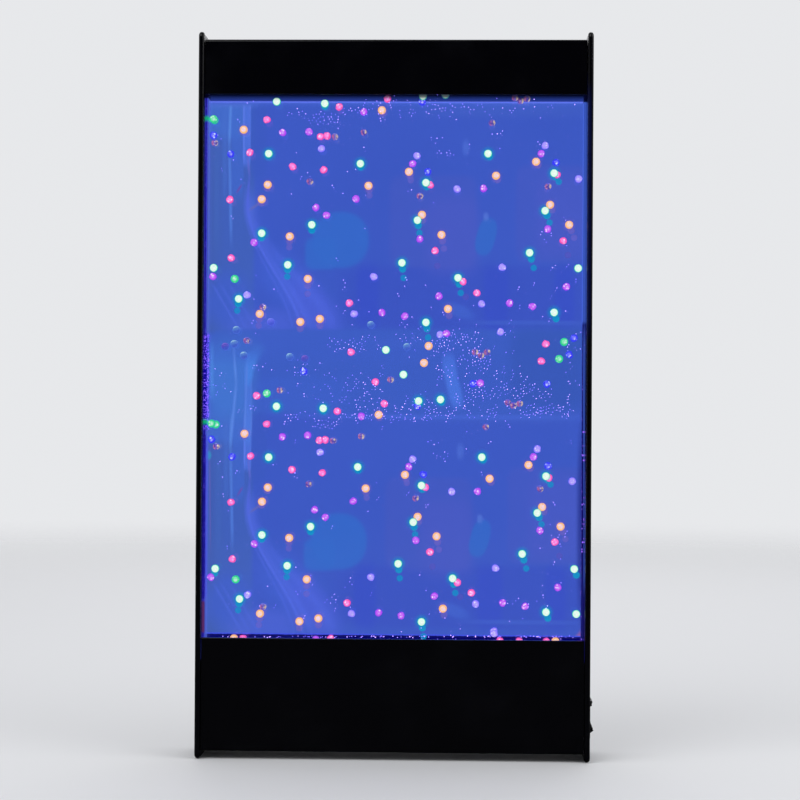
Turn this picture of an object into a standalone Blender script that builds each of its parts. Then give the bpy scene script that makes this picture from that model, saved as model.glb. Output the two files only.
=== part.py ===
"""A wall-hung luminous bead panel.

A thin sealed tank of clear sheets holds liquid and small fluorescent beads. It stands in front of an
edge-lit light box, between two black side plates, with a black cover above and a taller one below.

Metres. X runs to the right as seen from the front, -Y towards the viewer and Z up. The origin is in the
middle of the back face, where the panel meets the wall.
"""
import math

import bmesh
import bpy
from mathutils import Vector

# Overall sizes
PANEL_WIDTH = 0.2755
PANEL_HEIGHT = 0.5080
PANEL_DEPTH = 0.0560
TOUCH = 0.0003
CUT_OVERRUN = 0.0010

# Side plates
PLATE_THICKNESS = 0.0040
PLATE_CORNER = 0.0040
PLATE_EDGE_SHARE = 0.475

# Covers
COVER_WALL = 0.0030
COVER_SETBACK = 0.0020
COVER_INSET = 0.0053
TOP_COVER_HEIGHT = 0.0384
BOTTOM_COVER_HEIGHT = 0.0791
COVER_BEND = 0.0022
COVER_LIP = 0.0008
GUSSET_REACH = 0.0080
GUSSET_THICKNESS = 0.0020
GUSSET_PLACE_SHARES = (-0.62, 0.0, 0.62)
FLOOR_VENT_WIDTH = 0.0030
FLOOR_VENT_LENGTH = 0.0240
FLOOR_VENT_PITCH = 0.0085
FLOOR_VENT_COUNT = 7
FLOOR_VENT_END_SHARE = 0.45

# Bars that carry the covers, and the screws from below
REST_WIDTH = 0.0080
REST_HEIGHT = 0.0060
REST_BACK = 0.0070
BAR_WIDTH = 0.0100
BAR_HEIGHT = 0.0050
BAR_BACK = 0.0040
SCREW_RADIUS = 0.0015
SCREW_HEAD_RADIUS = 0.0030
SCREW_HEAD_HEIGHT = 0.0017
SCREW_LENGTH = 0.0070
SCREW_SLOT_WIDTH = 0.0008
SCREW_SLOT_DEPTH = 0.0008

# Rear panel and the keyholes that hang it on two wall screws
REAR_THICKNESS = 0.0030
KEYHOLE_FROM_SIDE = 0.05345
KEYHOLE_DROP = 0.0185
KEYHOLE_HEAD_RADIUS = 0.0045
KEYHOLE_SLOT_RADIUS = 0.0023
KEYHOLE_RISE = 0.0080
HANGER_WIDTH = 0.0300
HANGER_HEIGHT = 0.0200
HANGER_THICKNESS = 0.0015
HANGER_CORNER = 0.0030
PEG_RADIUS = 0.0025
PEG_HEIGHT = 0.0070

# Tank
FRONT_SHEET = 0.0040
BACK_SHEET = 0.0030
TANK_GAP = 0.0120
TANK_SIDE = 0.0020
TANK_HEADROOM = 0.0077
LID_BAR = 0.0080
FLOOR_DROP = 0.0047
FLOOR_BAR = 0.0100
SCREEN_THICKNESS = 0.0010
SCREEN_SLOT_WIDTH = 0.0020
SCREEN_SLOT_PITCH = 0.0080
SCREEN_MARGIN = 0.0022
FILL_FROM_SIDE = 0.07345
FILL_HOLE_RADIUS = 0.0036
PLUG_HEAD_RADIUS = 0.0054
PLUG_HEAD_HEIGHT = 0.0040
PLUG_STEM = 0.0060
PLUG_GRIP_COUNT = 8
PLUG_GRIP_RADIUS = 0.0009
SEAL_RADIUS = 0.0007

# Light box behind the tank
DIFFUSER_SHEET = 0.0025
GLOW_DROP = 0.0023
TRAY_SHEET = 0.0010
CHANNEL_SHEET = 0.0015
CHANNEL_HEIGHT = 0.0090
STRIP_WIDTH = 0.0100
STRIP_THICKNESS = 0.0012
CHIP_LENGTH = 0.0035
CHIP_WIDTH = 0.0028
CHIP_HEIGHT = 0.0008
CHIP_PITCH = 0.0110

# Beads that lie on the tank's floor
BEAD_RADIUS = 0.0030
BEAD_PLACE_SHARES = (-0.849, -0.410, -0.335, 0.571, 0.673, 0.818)
BEAD_DEPTH_SHARES = (0.25, 0.10, 0.85, 0.40, 0.15, 0.30)
BEAD_PARTNERS = ((0, 0.0), (3, 130.0), (5, 0.0))

# Rocker switch in the right side plate
SWITCH_RISE = 0.0292
SWITCH_SETBACK = 0.0280
FLANGE_LENGTH = 0.0292
FLANGE_WIDTH = 0.0250
FLANGE_THICKNESS = 0.0009
FLANGE_CORNER = 0.0020
SWITCH_BODY_LENGTH = 0.0266
SWITCH_BODY_WIDTH = 0.0224
SWITCH_BODY_DEPTH = 0.0200
SWITCH_WELL_DEPTH = 0.0085
ROCKER_RADIUS = 0.0118
ROCKER_WIDTH = 0.0180
ROCKER_TIP_RISE = 0.0042
ROCKER_MIDDLE_RISE = 0.0022
ROCKER_SKIRT = 0.0030
ROCKER_PIVOT_DEPTH = 0.0016
ROCKER_PIN_RADIUS = 0.0012
ROCKER_PIN_LENGTH = 0.0012
ROCKER_TILT = 5.0
BLADE_WIDTH = 0.0048
BLADE_THICKNESS = 0.0008
BLADE_LENGTH = 0.0080
BLADE_SEAT = 0.0040
BLADE_SPREAD = 0.0065

# Driver board, its larger parts, and the power socket
BOARD_FROM_SIDE = 0.04845
BOARD_WIDTH = 0.0700
BOARD_HEIGHT = 0.0400
BOARD_THICKNESS = 0.0016
BOARD_RISE = 0.0095
PEG_MARGIN = 0.0050
SINK_WIDTH = 0.0180
SINK_HEIGHT = 0.0300
SINK_DEPTH = 0.0200
SINK_BASE = 0.0030
SINK_FIN = 0.0014
SINK_FIN_COUNT = 5
COIL_WIDTH = 0.0200
COIL_HEIGHT = 0.0180
COIL_DEPTH = 0.0160
COIL_CHEEK = 0.0020
COIL_WAIST = 0.0025
PART_MARGIN = 0.0060
SOCKET_FROM_SIDE = 0.03545
SOCKET_RADIUS = 0.0055
SOCKET_FLANGE_RADIUS = 0.0070
SOCKET_FLANGE = 0.0012
SOCKET_HEIGHT = 0.0140
SOCKET_BORE_RADIUS = 0.0030
SOCKET_BORE_DEPTH = 0.0095
SOCKET_PIN_RADIUS = 0.0010

# Pump on the left, its axis along X
PUMP_FROM_SIDE = 0.03845
PUMP_BODY_LENGTH = 0.0330
PUMP_COVER_GAP = 0.0047
PUMP_BODY_HEIGHT = 0.0400
PUMP_RISE = 0.0265
PUMP_CORNER = 0.0050
WELL_RADIUS = 0.0085
WELL_DEPTH = 0.0240
SHAFT_RADIUS = 0.0012
SHAFT_SEAT = 0.0030
SHAFT_NOSE = 0.0090
ROTOR_RADIUS = 0.0075
ROTOR_CLEARANCE = 0.0006
DISC_RADIUS = 0.0125
DISC_THICKNESS = 0.0015
HUB_RADIUS = 0.0032
VANE_COUNT = 6
VANE_HEIGHT = 0.0050
VANE_THICKNESS = 0.0014
VANE_SWEEP = 38.0
VOLUTE_RADIUS = 0.0170
VOLUTE_WALL = 0.0020
VOLUTE_LENGTH = 0.0145
SPOUT_RADIUS = 0.0042
SPOUT_BORE_RADIUS = 0.0027
SUCTION_SPOUT = 0.0130
OUTLET_SPOUT = 0.0235

# Fittings under the tank, hoses and drain tap
STEM_RADIUS = 0.0035
STEM_LENGTH = 0.0060
FITTING_FLANGE_RADIUS = 0.0054
FITTING_FLANGE = 0.0015
BARB_LENGTH = 0.0100
SUCTION_REACH = 0.0282
HOSE_WALL = 0.0012
HOSE_OVERLAP = 0.0080
HOSE_PULL_SHARE = 1.25
TAP_FROM_SIDE = 0.01845
TAP_RADIUS = 0.0052
TAP_HEIGHT = 0.0220
TAP_SPOUT_RADIUS = 0.0036
TAP_SPOUT = 0.0320
KEY_RADIUS = 0.0024
KEY_HANDLE_LENGTH = 0.0160
KEY_HANDLE_WIDTH = 0.0052
KEY_HANDLE_THICKNESS = 0.0018
KEY_END_SHARE = 0.48
KEY_GAP = 0.0008

# Leads
LEAD_RADIUS = 0.0014
LEAD_PULL = 0.0220
LEAD_CLEARANCE = 0.0060

ROUND_STEPS = 20
FINE_STEPS = 32
CORNER_STEPS = 5
LEAD_STEPS = 12
HOSE_STEPS = 12
HOSE_SIDES = 16
EDGE_STEPS = 4
BEAD_RINGS = 8

# Planes and edges worked out from the sizes above
OUTER_X = PANEL_WIDTH / 2
PLATE_INNER_X = OUTER_X - PLATE_THICKNESS
INSIDE_X = PLATE_INNER_X - TOUCH
FRONT_Y = -PANEL_DEPTH
COVER_FRONT_Y = FRONT_Y + COVER_SETBACK
COVER_BACK_Y = COVER_FRONT_Y + COVER_WALL
SHEET_FRONT_Y = COVER_BACK_Y + TOUCH
LIQUID_FRONT_Y = SHEET_FRONT_Y + FRONT_SHEET
LIQUID_BACK_Y = LIQUID_FRONT_Y + TANK_GAP
TANK_BACK_Y = LIQUID_BACK_Y + BACK_SHEET
DIFFUSER_FRONT_Y = TANK_BACK_Y + TOUCH
DIFFUSER_BACK_Y = DIFFUSER_FRONT_Y + DIFFUSER_SHEET
REAR_FRONT_Y = -REAR_THICKNESS
INSIDE_BACK_Y = REAR_FRONT_Y - TOUCH
TANK_MIDDLE_Y = (LIQUID_FRONT_Y + LIQUID_BACK_Y) / 2

PLATE_TOP_Z = PANEL_HEIGHT / 2
PLATE_BOTTOM_Z = -PANEL_HEIGHT / 2
TOP_Z = PLATE_TOP_Z - COVER_INSET
BOTTOM_Z = PLATE_BOTTOM_Z + COVER_INSET
WINDOW_TOP_Z = TOP_Z - TOP_COVER_HEIGHT
GLOW_TOP_Z = WINDOW_TOP_Z - GLOW_DROP
WINDOW_BOTTOM_Z = BOTTOM_Z + BOTTOM_COVER_HEIGHT
TANK_TOP_Z = WINDOW_TOP_Z + TANK_HEADROOM
LID_LOW_Z = TANK_TOP_Z + TOUCH
LID_TOP_Z = LID_LOW_Z + LID_BAR
SCREEN_TOP_Z = WINDOW_BOTTOM_Z - FLOOR_DROP
SCREEN_LOW_Z = SCREEN_TOP_Z - SCREEN_THICKNESS
FLOOR_TOP_Z = SCREEN_LOW_Z - TOUCH
FLOOR_LOW_Z = FLOOR_TOP_Z - FLOOR_BAR
BOX_FLOOR_Z = BOTTOM_Z + COVER_WALL
BAR_LOW_Z = BOX_FLOOR_Z + TOUCH
KEYHOLE_Z = TOP_Z - KEYHOLE_DROP
BOX_MIDDLE_Y = (COVER_BACK_Y + REAR_FRONT_Y) / 2
FILL_X = INSIDE_X - FILL_FROM_SIDE
TAP_X = TAP_FROM_SIDE - INSIDE_X

SWITCH_Z = PLATE_BOTTOM_Z + SWITCH_RISE
SWITCH_Y = FRONT_Y + SWITCH_SETBACK
ROCKER_PIVOT_X = OUTER_X - ROCKER_PIVOT_DEPTH
SWITCH_INNER_X = OUTER_X - SWITCH_BODY_DEPTH

PEG_TOP_Y = REAR_FRONT_Y - PEG_HEIGHT
BOARD_BACK_Y = PEG_TOP_Y - TOUCH
BOARD_FRONT_Y = BOARD_BACK_Y - BOARD_THICKNESS
BOARD_LOW_Z = BOX_FLOOR_Z + BOARD_RISE
BOARD_TOP_Z = BOARD_LOW_Z + BOARD_HEIGHT
BOARD_RIGHT = INSIDE_X - BOARD_FROM_SIDE
BOARD_LEFT = BOARD_RIGHT - BOARD_WIDTH
SOCKET_X = INSIDE_X - SOCKET_FROM_SIDE

PUMP_LEFT_X = PUMP_FROM_SIDE - INSIDE_X
PUMP_RIGHT_X = PUMP_LEFT_X + PUMP_BODY_LENGTH
PUMP_BACK_Y = PEG_TOP_Y - TOUCH
PUMP_FRONT_Y = COVER_BACK_Y + PUMP_COVER_GAP
PUMP_AXIS_Y = (PUMP_BACK_Y + PUMP_FRONT_Y) / 2
PUMP_AXIS_Z = BOTTOM_Z + PUMP_RISE
VOLUTE_LEFT_X = PUMP_RIGHT_X + TOUCH
VOLUTE_RIGHT_X = VOLUTE_LEFT_X + VOLUTE_LENGTH
SUCTION_X = VOLUTE_RIGHT_X + SUCTION_SPOUT + SUCTION_REACH
OUTLET_X = VOLUTE_LEFT_X + VOLUTE_LENGTH / 2
OUTLET_TOP_Z = PUMP_AXIS_Z + OUTLET_SPOUT
FITTING_TOP_Z = FLOOR_LOW_Z - TOUCH
BARB_LOW_Z = FITTING_TOP_Z - FITTING_FLANGE - BARB_LENGTH
HOSE_BORE_RADIUS = SPOUT_RADIUS + TOUCH
HOSE_RADIUS = HOSE_BORE_RADIUS + HOSE_WALL


def clear_scene():
    """Start from an empty scene."""
    for item in list(bpy.data.objects):
        bpy.data.objects.remove(item, do_unlink=True)


def make_material(name, colour, roughness, metallic=0.0, transmission=0.0):
    """One Principled material."""
    material = bpy.data.materials.new(name)
    material.use_nodes = True
    shader = material.node_tree.nodes["Principled BSDF"]
    shader.inputs["Base Color"].default_value = (*colour, 1.0)
    shader.inputs["Roughness"].default_value = roughness
    shader.inputs["Metallic"].default_value = metallic
    shader.inputs["Transmission Weight"].default_value = transmission
    return material


def place(axis, u, v, along):
    """A point from its two outline coordinates and its height along the axis."""
    if axis == "X":
        return Vector((along, u, v))
    if axis == "Y":
        return Vector((u, along, v))
    return Vector((u, v, along))


def rectangle(low_u, low_v, high_u, high_v):
    """A plain rectangular outline."""
    return [(low_u, low_v), (high_u, low_v), (high_u, high_v), (low_u, high_v)]


def circle(centre_u, centre_v, radius, steps=ROUND_STEPS):
    """A round outline."""
    turns = [2 * math.pi * step / steps for step in range(steps)]
    return [(centre_u + radius * math.cos(turn), centre_v + radius * math.sin(turn)) for turn in turns]


def arc(centre_u, centre_v, radius, start, end, steps=CORNER_STEPS):
    """Points along an arc between two angles in degrees."""
    points = []
    for step in range(steps + 1):
        turn = math.radians(start + (end - start) * step / steps)
        points.append((centre_u + radius * math.cos(turn), centre_v + radius * math.sin(turn)))
    return points


def rounded_rectangle(low_u, low_v, high_u, high_v, radius):
    """A rectangular outline with round corners."""
    return (arc(high_u - radius, low_v + radius, radius, -90, 0)
            + arc(high_u - radius, high_v - radius, radius, 0, 90)
            + arc(low_u + radius, high_v - radius, radius, 90, 180)
            + arc(low_u + radius, low_v + radius, radius, 180, 270))


def extrude(mesh, outline, axis, low, high):
    """Extrude an outline from one height to another."""
    face = mesh.faces.new([mesh.verts.new(place(axis, u, v, low)) for u, v in outline])
    grown = bmesh.ops.extrude_face_region(mesh, geom=[face])
    moved = [item for item in grown["geom"] if isinstance(item, bmesh.types.BMVert)]
    bmesh.ops.translate(mesh, verts=moved, vec=place(axis, 0, 0, high - low))


def revolve(mesh, profile, axis, centre, steps=ROUND_STEPS):
    """Spin a closed profile of (radius, height) points round an axis."""
    rim = [mesh.verts.new(Vector(centre) + place(axis, radius, 0, height)) for radius, height in profile]
    edges = []
    for index, (radius, _) in enumerate(profile):
        following = (index + 1) % len(profile)
        if radius > 0 or profile[following][0] > 0:
            edges.append(mesh.edges.new((rim[index], rim[following])))
    bmesh.ops.spin(mesh, geom=rim + edges, cent=centre, axis=place(axis, 0, 0, 1),
                   angle=2 * math.pi, steps=steps)
    bmesh.ops.remove_doubles(mesh, verts=mesh.verts, dist=TOUCH / 100)


def finish(name, mesh, material, origin=(0, 0, 0), smooth=40):
    """Turn a bmesh into a named object whose origin is at the given point."""
    bmesh.ops.recalc_face_normals(mesh, faces=mesh.faces)
    bmesh.ops.translate(mesh, verts=mesh.verts, vec=-Vector(origin))
    data = bpy.data.meshes.new(name)
    mesh.to_mesh(data)
    mesh.free()
    data.shade_smooth()
    data.set_sharp_from_angle(angle=math.radians(smooth))
    data.materials.append(material)
    item = bpy.data.objects.new(name, data)
    item.location = origin
    bpy.context.scene.collection.objects.link(item)
    return item


def combine(target, mesh, operation):
    """Cut a hidden wire shape out of an object, or fuse it on."""
    bmesh.ops.recalc_face_normals(mesh, faces=mesh.faces)
    name = f"{operation.lower()}_{target.name}_{len(target.modifiers)}"
    data = bpy.data.meshes.new(name)
    mesh.to_mesh(data)
    mesh.free()
    tool = bpy.data.objects.new(name, data)
    tool.hide_render = True
    tool.display_type = "WIRE"
    bpy.context.scene.collection.objects.link(tool)
    modifier = target.modifiers.new(name, "BOOLEAN")
    modifier.operation = operation
    modifier.solver = "EXACT"
    modifier.object = tool


def soften(target, width, steps=EDGE_STEPS, angle=50):
    """Round the sharp edges of an object."""
    modifier = target.modifiers.new("soft_edges", "BEVEL")
    modifier.width = width
    modifier.segments = steps
    modifier.limit_method = "ANGLE"
    modifier.angle_limit = math.radians(angle)
    modifier.harden_normals = False


def smooth_path(start, start_pull, end, end_pull, steps):
    """Points along a smooth curve that leaves and arrives along the two pulls."""
    points = []
    for step in range(steps + 1):
        t = step / steps
        from_start = 2 * t ** 3 - 3 * t ** 2 + 1
        from_end = -2 * t ** 3 + 3 * t ** 2
        leave = t ** 3 - 2 * t ** 2 + t
        arrive = t ** 3 - t ** 2
        points.append(Vector(start) * from_start + Vector(end) * from_end
                      + Vector(start_pull) * leave + Vector(end_pull) * arrive)
    return points


def make_lead(name, material, start, start_pull, end, end_pull):
    """A round insulated lead along a smooth curve."""
    curve = bpy.data.curves.new(name, "CURVE")
    curve.dimensions = "3D"
    curve.bevel_depth = LEAD_RADIUS
    curve.bevel_resolution = 2
    curve.use_fill_caps = True
    leave = Vector(start_pull).normalized() * LEAD_RADIUS
    arrive = Vector(end_pull).normalized() * LEAD_RADIUS
    middle = smooth_path(Vector(start) + leave, start_pull, Vector(end) - arrive, end_pull, LEAD_STEPS)
    points = [Vector(start)] + middle + [Vector(end)]
    spline = curve.splines.new("POLY")
    spline.points.add(len(points) - 1)
    for target, point in zip(spline.points, points):
        target.co = (*point, 1.0)
    curve.materials.append(material)
    item = bpy.data.objects.new(name, curve)
    bpy.context.scene.collection.objects.link(item)
    return item


def sweep_hose(mesh, points, radius, bore_radius, steps=HOSE_SIDES):
    """A tube with a bore along a path, closed by flat ring ends."""
    first = (points[1] - points[0]).normalized()
    side = first.orthogonal().normalized()
    outer_rings = []
    inner_rings = []
    for index, point in enumerate(points):
        before = points[max(index - 1, 0)]
        after = points[min(index + 1, len(points) - 1)]
        ahead = (after - before).normalized()
        side = (side - ahead * side.dot(ahead)).normalized()
        across = ahead.cross(side)
        outer = []
        inner = []
        for step in range(steps):
            turn = 2 * math.pi * step / steps
            spoke = side * math.cos(turn) + across * math.sin(turn)
            outer.append(mesh.verts.new(point + spoke * radius))
            inner.append(mesh.verts.new(point + spoke * bore_radius))
        outer_rings.append(outer)
        inner_rings.append(inner)
    for rings in (outer_rings, inner_rings):
        for ring, following in zip(rings, rings[1:]):
            join_rings(mesh, ring, following)
    join_rings(mesh, outer_rings[0], inner_rings[0])
    join_rings(mesh, outer_rings[-1], inner_rings[-1])


def join_rings(mesh, ring, following):
    """Bridge two rings of vertices with quads."""
    for index in range(len(ring)):
        beyond = (index + 1) % len(ring)
        mesh.faces.new((ring[index], ring[beyond], following[beyond], following[index]))


def make_side_plate(name, material, side):
    """A thin plate with round front corners and a full round on every edge but the back one."""
    mesh = bmesh.new()
    outline = ([(0, PLATE_BOTTOM_Z), (0, PLATE_TOP_Z)]
               + arc(FRONT_Y + PLATE_CORNER, PLATE_TOP_Z - PLATE_CORNER, PLATE_CORNER, 90, 180)
               + arc(FRONT_Y + PLATE_CORNER, PLATE_BOTTOM_Z + PLATE_CORNER, PLATE_CORNER, 180, 270))
    faces = sorted((side * PLATE_INNER_X, side * OUTER_X))
    extrude(mesh, outline, "X", faces[0], faces[1])
    # Only the back edges, which lie on the wall plane, and the short lines across the rim stay sharp
    rim = []
    for edge in mesh.edges:
        start, end = (vertex.co for vertex in edge.verts)
        crosses = abs(start.x - end.x) > PLATE_THICKNESS / 2
        at_back = start.y > -TOUCH and end.y > -TOUCH
        if not crosses and not at_back:
            rim.append(edge)
    bmesh.ops.bevel(mesh, geom=rim, offset=PLATE_THICKNESS * PLATE_EDGE_SHARE, offset_type="OFFSET",
                    segments=EDGE_STEPS + 2, profile=0.5, affect="EDGES", clamp_overlap=True)
    return finish(name, mesh, material)


def cut_switch_window(plate):
    """The square hole that the switch snaps into."""
    mesh = bmesh.new()
    half_length = SWITCH_BODY_LENGTH / 2 + TOUCH
    half_width = SWITCH_BODY_WIDTH / 2 + TOUCH
    outline = rectangle(SWITCH_Y - half_width, SWITCH_Z - half_length,
                        SWITCH_Y + half_width, SWITCH_Z + half_length)
    extrude(mesh, outline, "X", PLATE_INNER_X - CUT_OVERRUN, OUTER_X + CUT_OVERRUN)
    combine(plate, mesh, "DIFFERENCE")


def cover_outline(outer_z, edge_z):
    """The bent section of a cover: a front wall and a wall back to the rear panel."""
    inward = 1 if edge_z > outer_z else -1
    inner_z = outer_z + inward * COVER_WALL
    turn = -inward * 90
    outline = [(INSIDE_BACK_Y, inner_z), (INSIDE_BACK_Y, outer_z)]
    outline += arc(COVER_FRONT_Y + COVER_BEND, outer_z + inward * COVER_BEND, COVER_BEND, turn, -inward * 180)
    outline += arc(COVER_FRONT_Y + COVER_LIP, edge_z - inward * COVER_LIP, COVER_LIP, -inward * 180,
                   -inward * 270)
    outline += [(COVER_BACK_Y, edge_z), (COVER_BACK_Y, inner_z)]
    return outline


def make_cover(name, material, outer_z, edge_z):
    """A bent cover with gussets in its corner."""
    mesh = bmesh.new()
    extrude(mesh, cover_outline(outer_z, edge_z), "X", -INSIDE_X, INSIDE_X)
    cover = finish(name, mesh, material)
    inward = 1 if edge_z > outer_z else -1
    inner_z = outer_z + inward * COVER_WALL
    bite = COVER_WALL / 2
    mesh = bmesh.new()
    for share in GUSSET_PLACE_SHARES:
        middle = share * INSIDE_X
        outline = [(COVER_BACK_Y - bite, inner_z - inward * bite),
                   (COVER_BACK_Y + GUSSET_REACH, inner_z - inward * bite),
                   (COVER_BACK_Y + GUSSET_REACH, inner_z),
                   (COVER_BACK_Y, inner_z + inward * GUSSET_REACH),
                   (COVER_BACK_Y - bite, inner_z + inward * GUSSET_REACH)]
        extrude(mesh, outline, "X", middle - GUSSET_THICKNESS / 2, middle + GUSSET_THICKNESS / 2)
    combine(cover, mesh, "UNION")
    return cover


def cut_cover_floor(cover):
    """Vents, screw holes, the socket's hole and the drain hole in the bottom cover's floor."""
    low = BOTTOM_Z - CUT_OVERRUN
    high = BOX_FLOOR_Z + CUT_OVERRUN
    mesh = bmesh.new()
    vents_middle = (BOARD_LEFT + BOARD_RIGHT) / 2
    for index in range(FLOOR_VENT_COUNT):
        middle = vents_middle + (index - (FLOOR_VENT_COUNT - 1) / 2) * FLOOR_VENT_PITCH
        outline = rounded_rectangle(middle - FLOOR_VENT_WIDTH / 2, BOX_MIDDLE_Y - FLOOR_VENT_LENGTH / 2,
                                    middle + FLOOR_VENT_WIDTH / 2, BOX_MIDDLE_Y + FLOOR_VENT_LENGTH / 2,
                                    FLOOR_VENT_WIDTH * FLOOR_VENT_END_SHARE)
        extrude(mesh, outline, "Z", low, high)
    extrude(mesh, circle(SOCKET_X, BOX_MIDDLE_Y, SOCKET_RADIUS + TOUCH), "Z", low, high)
    extrude(mesh, circle(TAP_X, TANK_MIDDLE_Y, TAP_SPOUT_RADIUS + CUT_OVERRUN), "Z", low, high)
    for side in (-1, 1):
        revolve(mesh, screw_profile(TOUCH, CUT_OVERRUN), "Z", (screw_x(side), BOX_MIDDLE_Y, BOTTOM_Z))
    combine(cover, mesh, "DIFFERENCE")


def screw_x(side):
    """Where a cover screw stands across the panel."""
    return side * (INSIDE_X - BAR_WIDTH / 2)


def screw_profile(clearance, overrun):
    """A countersunk screw with its head down, or with a clearance the hole that it needs."""
    return [(0, -overrun), (SCREW_HEAD_RADIUS + clearance, -overrun), (SCREW_HEAD_RADIUS + clearance, 0),
            (SCREW_RADIUS + clearance, SCREW_HEAD_HEIGHT), (SCREW_RADIUS + clearance, SCREW_LENGTH + overrun),
            (0, SCREW_LENGTH + overrun)]


def make_cover_screw(name, material, side):
    """One slotted countersunk screw, its head flush with the cover's floor."""
    mesh = bmesh.new()
    centre = (screw_x(side), BOX_MIDDLE_Y, BOTTOM_Z)
    profile = [(0, 0), (SCREW_HEAD_RADIUS, 0), (SCREW_RADIUS, SCREW_HEAD_HEIGHT),
               (SCREW_RADIUS, SCREW_LENGTH), (0, SCREW_LENGTH)]
    revolve(mesh, profile, "Z", centre)
    screw = finish(name, mesh, material)
    mesh = bmesh.new()
    half = SCREW_SLOT_WIDTH / 2
    outline = rectangle(centre[0] - SCREW_HEAD_RADIUS - CUT_OVERRUN, centre[1] - half,
                        centre[0] + SCREW_HEAD_RADIUS + CUT_OVERRUN, centre[1] + half)
    extrude(mesh, outline, "Z", BOTTOM_Z - CUT_OVERRUN, BOTTOM_Z + SCREW_SLOT_DEPTH)
    combine(screw, mesh, "DIFFERENCE")
    return screw


def make_cover_bar(name, material, side):
    """A square bar on a side plate, tapped for the screw that holds the bottom cover."""
    mesh = bmesh.new()
    sides = sorted((side * INSIDE_X, side * (INSIDE_X - BAR_WIDTH)))
    low_y = COVER_BACK_Y + TOUCH
    extrude(mesh, rectangle(sides[0], low_y, sides[1], -BAR_BACK), "Z", BAR_LOW_Z, BAR_LOW_Z + BAR_HEIGHT)
    bar = finish(name, mesh, material)
    soften(bar, TOUCH, steps=1)
    mesh = bmesh.new()
    extrude(mesh, circle(screw_x(side), BOX_MIDDLE_Y, SCREW_RADIUS + TOUCH), "Z",
            BAR_LOW_Z - CUT_OVERRUN, BAR_LOW_Z + BAR_HEIGHT + CUT_OVERRUN)
    combine(bar, mesh, "DIFFERENCE")
    return bar


def make_top_rest(name, material, side):
    """A stepped bar on a side plate, on which the top cover rests."""
    mesh = bmesh.new()
    high = TOP_Z - COVER_WALL - TOUCH
    inner = side * (INSIDE_X - REST_WIDTH)
    outer = side * INSIDE_X
    nose = side * (INSIDE_X - REST_WIDTH / 2)
    outline = [(outer, high - REST_HEIGHT), (nose, high - REST_HEIGHT), (inner, high - REST_HEIGHT / 2),
               (inner, high), (outer, high)]
    extrude(mesh, outline, "Y", COVER_BACK_Y + GUSSET_REACH, -REST_BACK)
    return finish(name, mesh, material)


def keyhole_outline(middle):
    """A round hole for a screw's head that runs up into a narrow slot."""
    half = math.degrees(math.asin(KEYHOLE_SLOT_RADIUS / KEYHOLE_HEAD_RADIUS))
    outline = arc(middle, KEYHOLE_Z, KEYHOLE_HEAD_RADIUS, 90 + half, 450 - half, ROUND_STEPS)
    outline += arc(middle, KEYHOLE_Z + KEYHOLE_RISE, KEYHOLE_SLOT_RADIUS, 0, 180, CORNER_STEPS)
    return outline


def keyhole_places():
    """The keyholes' places across the panel."""
    reach = INSIDE_X - KEYHOLE_FROM_SIDE
    return (-reach, reach)


def board_pegs():
    """Places of the pegs that carry the driver board."""
    return [(x, z) for x in (BOARD_LEFT + PEG_MARGIN, BOARD_RIGHT - PEG_MARGIN)
            for z in (BOARD_LOW_Z + PEG_MARGIN, BOARD_TOP_Z - PEG_MARGIN)]


def pump_pegs():
    """Places of the pegs that carry the pump."""
    inset = PUMP_CORNER + PEG_RADIUS
    half = PUMP_BODY_HEIGHT / 2 - inset
    return [(x, z) for x in (PUMP_LEFT_X + inset, PUMP_RIGHT_X - inset)
            for z in (PUMP_AXIS_Z - half, PUMP_AXIS_Z + half)]


def make_rear_panel(material):
    """The flat back sheet with keyholes and moulded pegs."""
    mesh = bmesh.new()
    extrude(mesh, rectangle(-INSIDE_X, BOTTOM_Z, INSIDE_X, TOP_Z), "Y", REAR_FRONT_Y, 0)
    panel = finish("rear_panel", mesh, material)
    mesh = bmesh.new()
    for x, z in board_pegs() + pump_pegs():
        extrude(mesh, circle(x, z, PEG_RADIUS, ROUND_STEPS // 2), "Y", PEG_TOP_Y, REAR_FRONT_Y / 2)
    combine(panel, mesh, "UNION")
    mesh = bmesh.new()
    for middle in keyhole_places():
        extrude(mesh, keyhole_outline(middle), "Y", REAR_FRONT_Y - CUT_OVERRUN, CUT_OVERRUN)
    combine(panel, mesh, "DIFFERENCE")
    return panel


def make_hanger(name, material, middle):
    """A steel plate whose keyhole takes the head of a wall screw."""
    mesh = bmesh.new()
    centre_z = KEYHOLE_Z + KEYHOLE_RISE / 2
    outline = rounded_rectangle(middle - HANGER_WIDTH / 2, centre_z - HANGER_HEIGHT / 2,
                                middle + HANGER_WIDTH / 2, centre_z + HANGER_HEIGHT / 2, HANGER_CORNER)
    extrude(mesh, outline, "Y", INSIDE_BACK_Y - HANGER_THICKNESS, INSIDE_BACK_Y)
    hanger = finish(name, mesh, material)
    mesh = bmesh.new()
    extrude(mesh, keyhole_outline(middle), "Y", INSIDE_BACK_Y - HANGER_THICKNESS - CUT_OVERRUN, CUT_OVERRUN)
    combine(hanger, mesh, "DIFFERENCE")
    return hanger


def make_sheet(name, material, low_y, high_y, low_z, high_z):
    """A flat sheet that fills the width between the side plates."""
    mesh = bmesh.new()
    extrude(mesh, rectangle(-INSIDE_X, low_z, INSIDE_X, high_z), "Y", low_y, high_y)
    sheet = finish(name, mesh, material)
    soften(sheet, TOUCH, steps=1)
    return sheet


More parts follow.
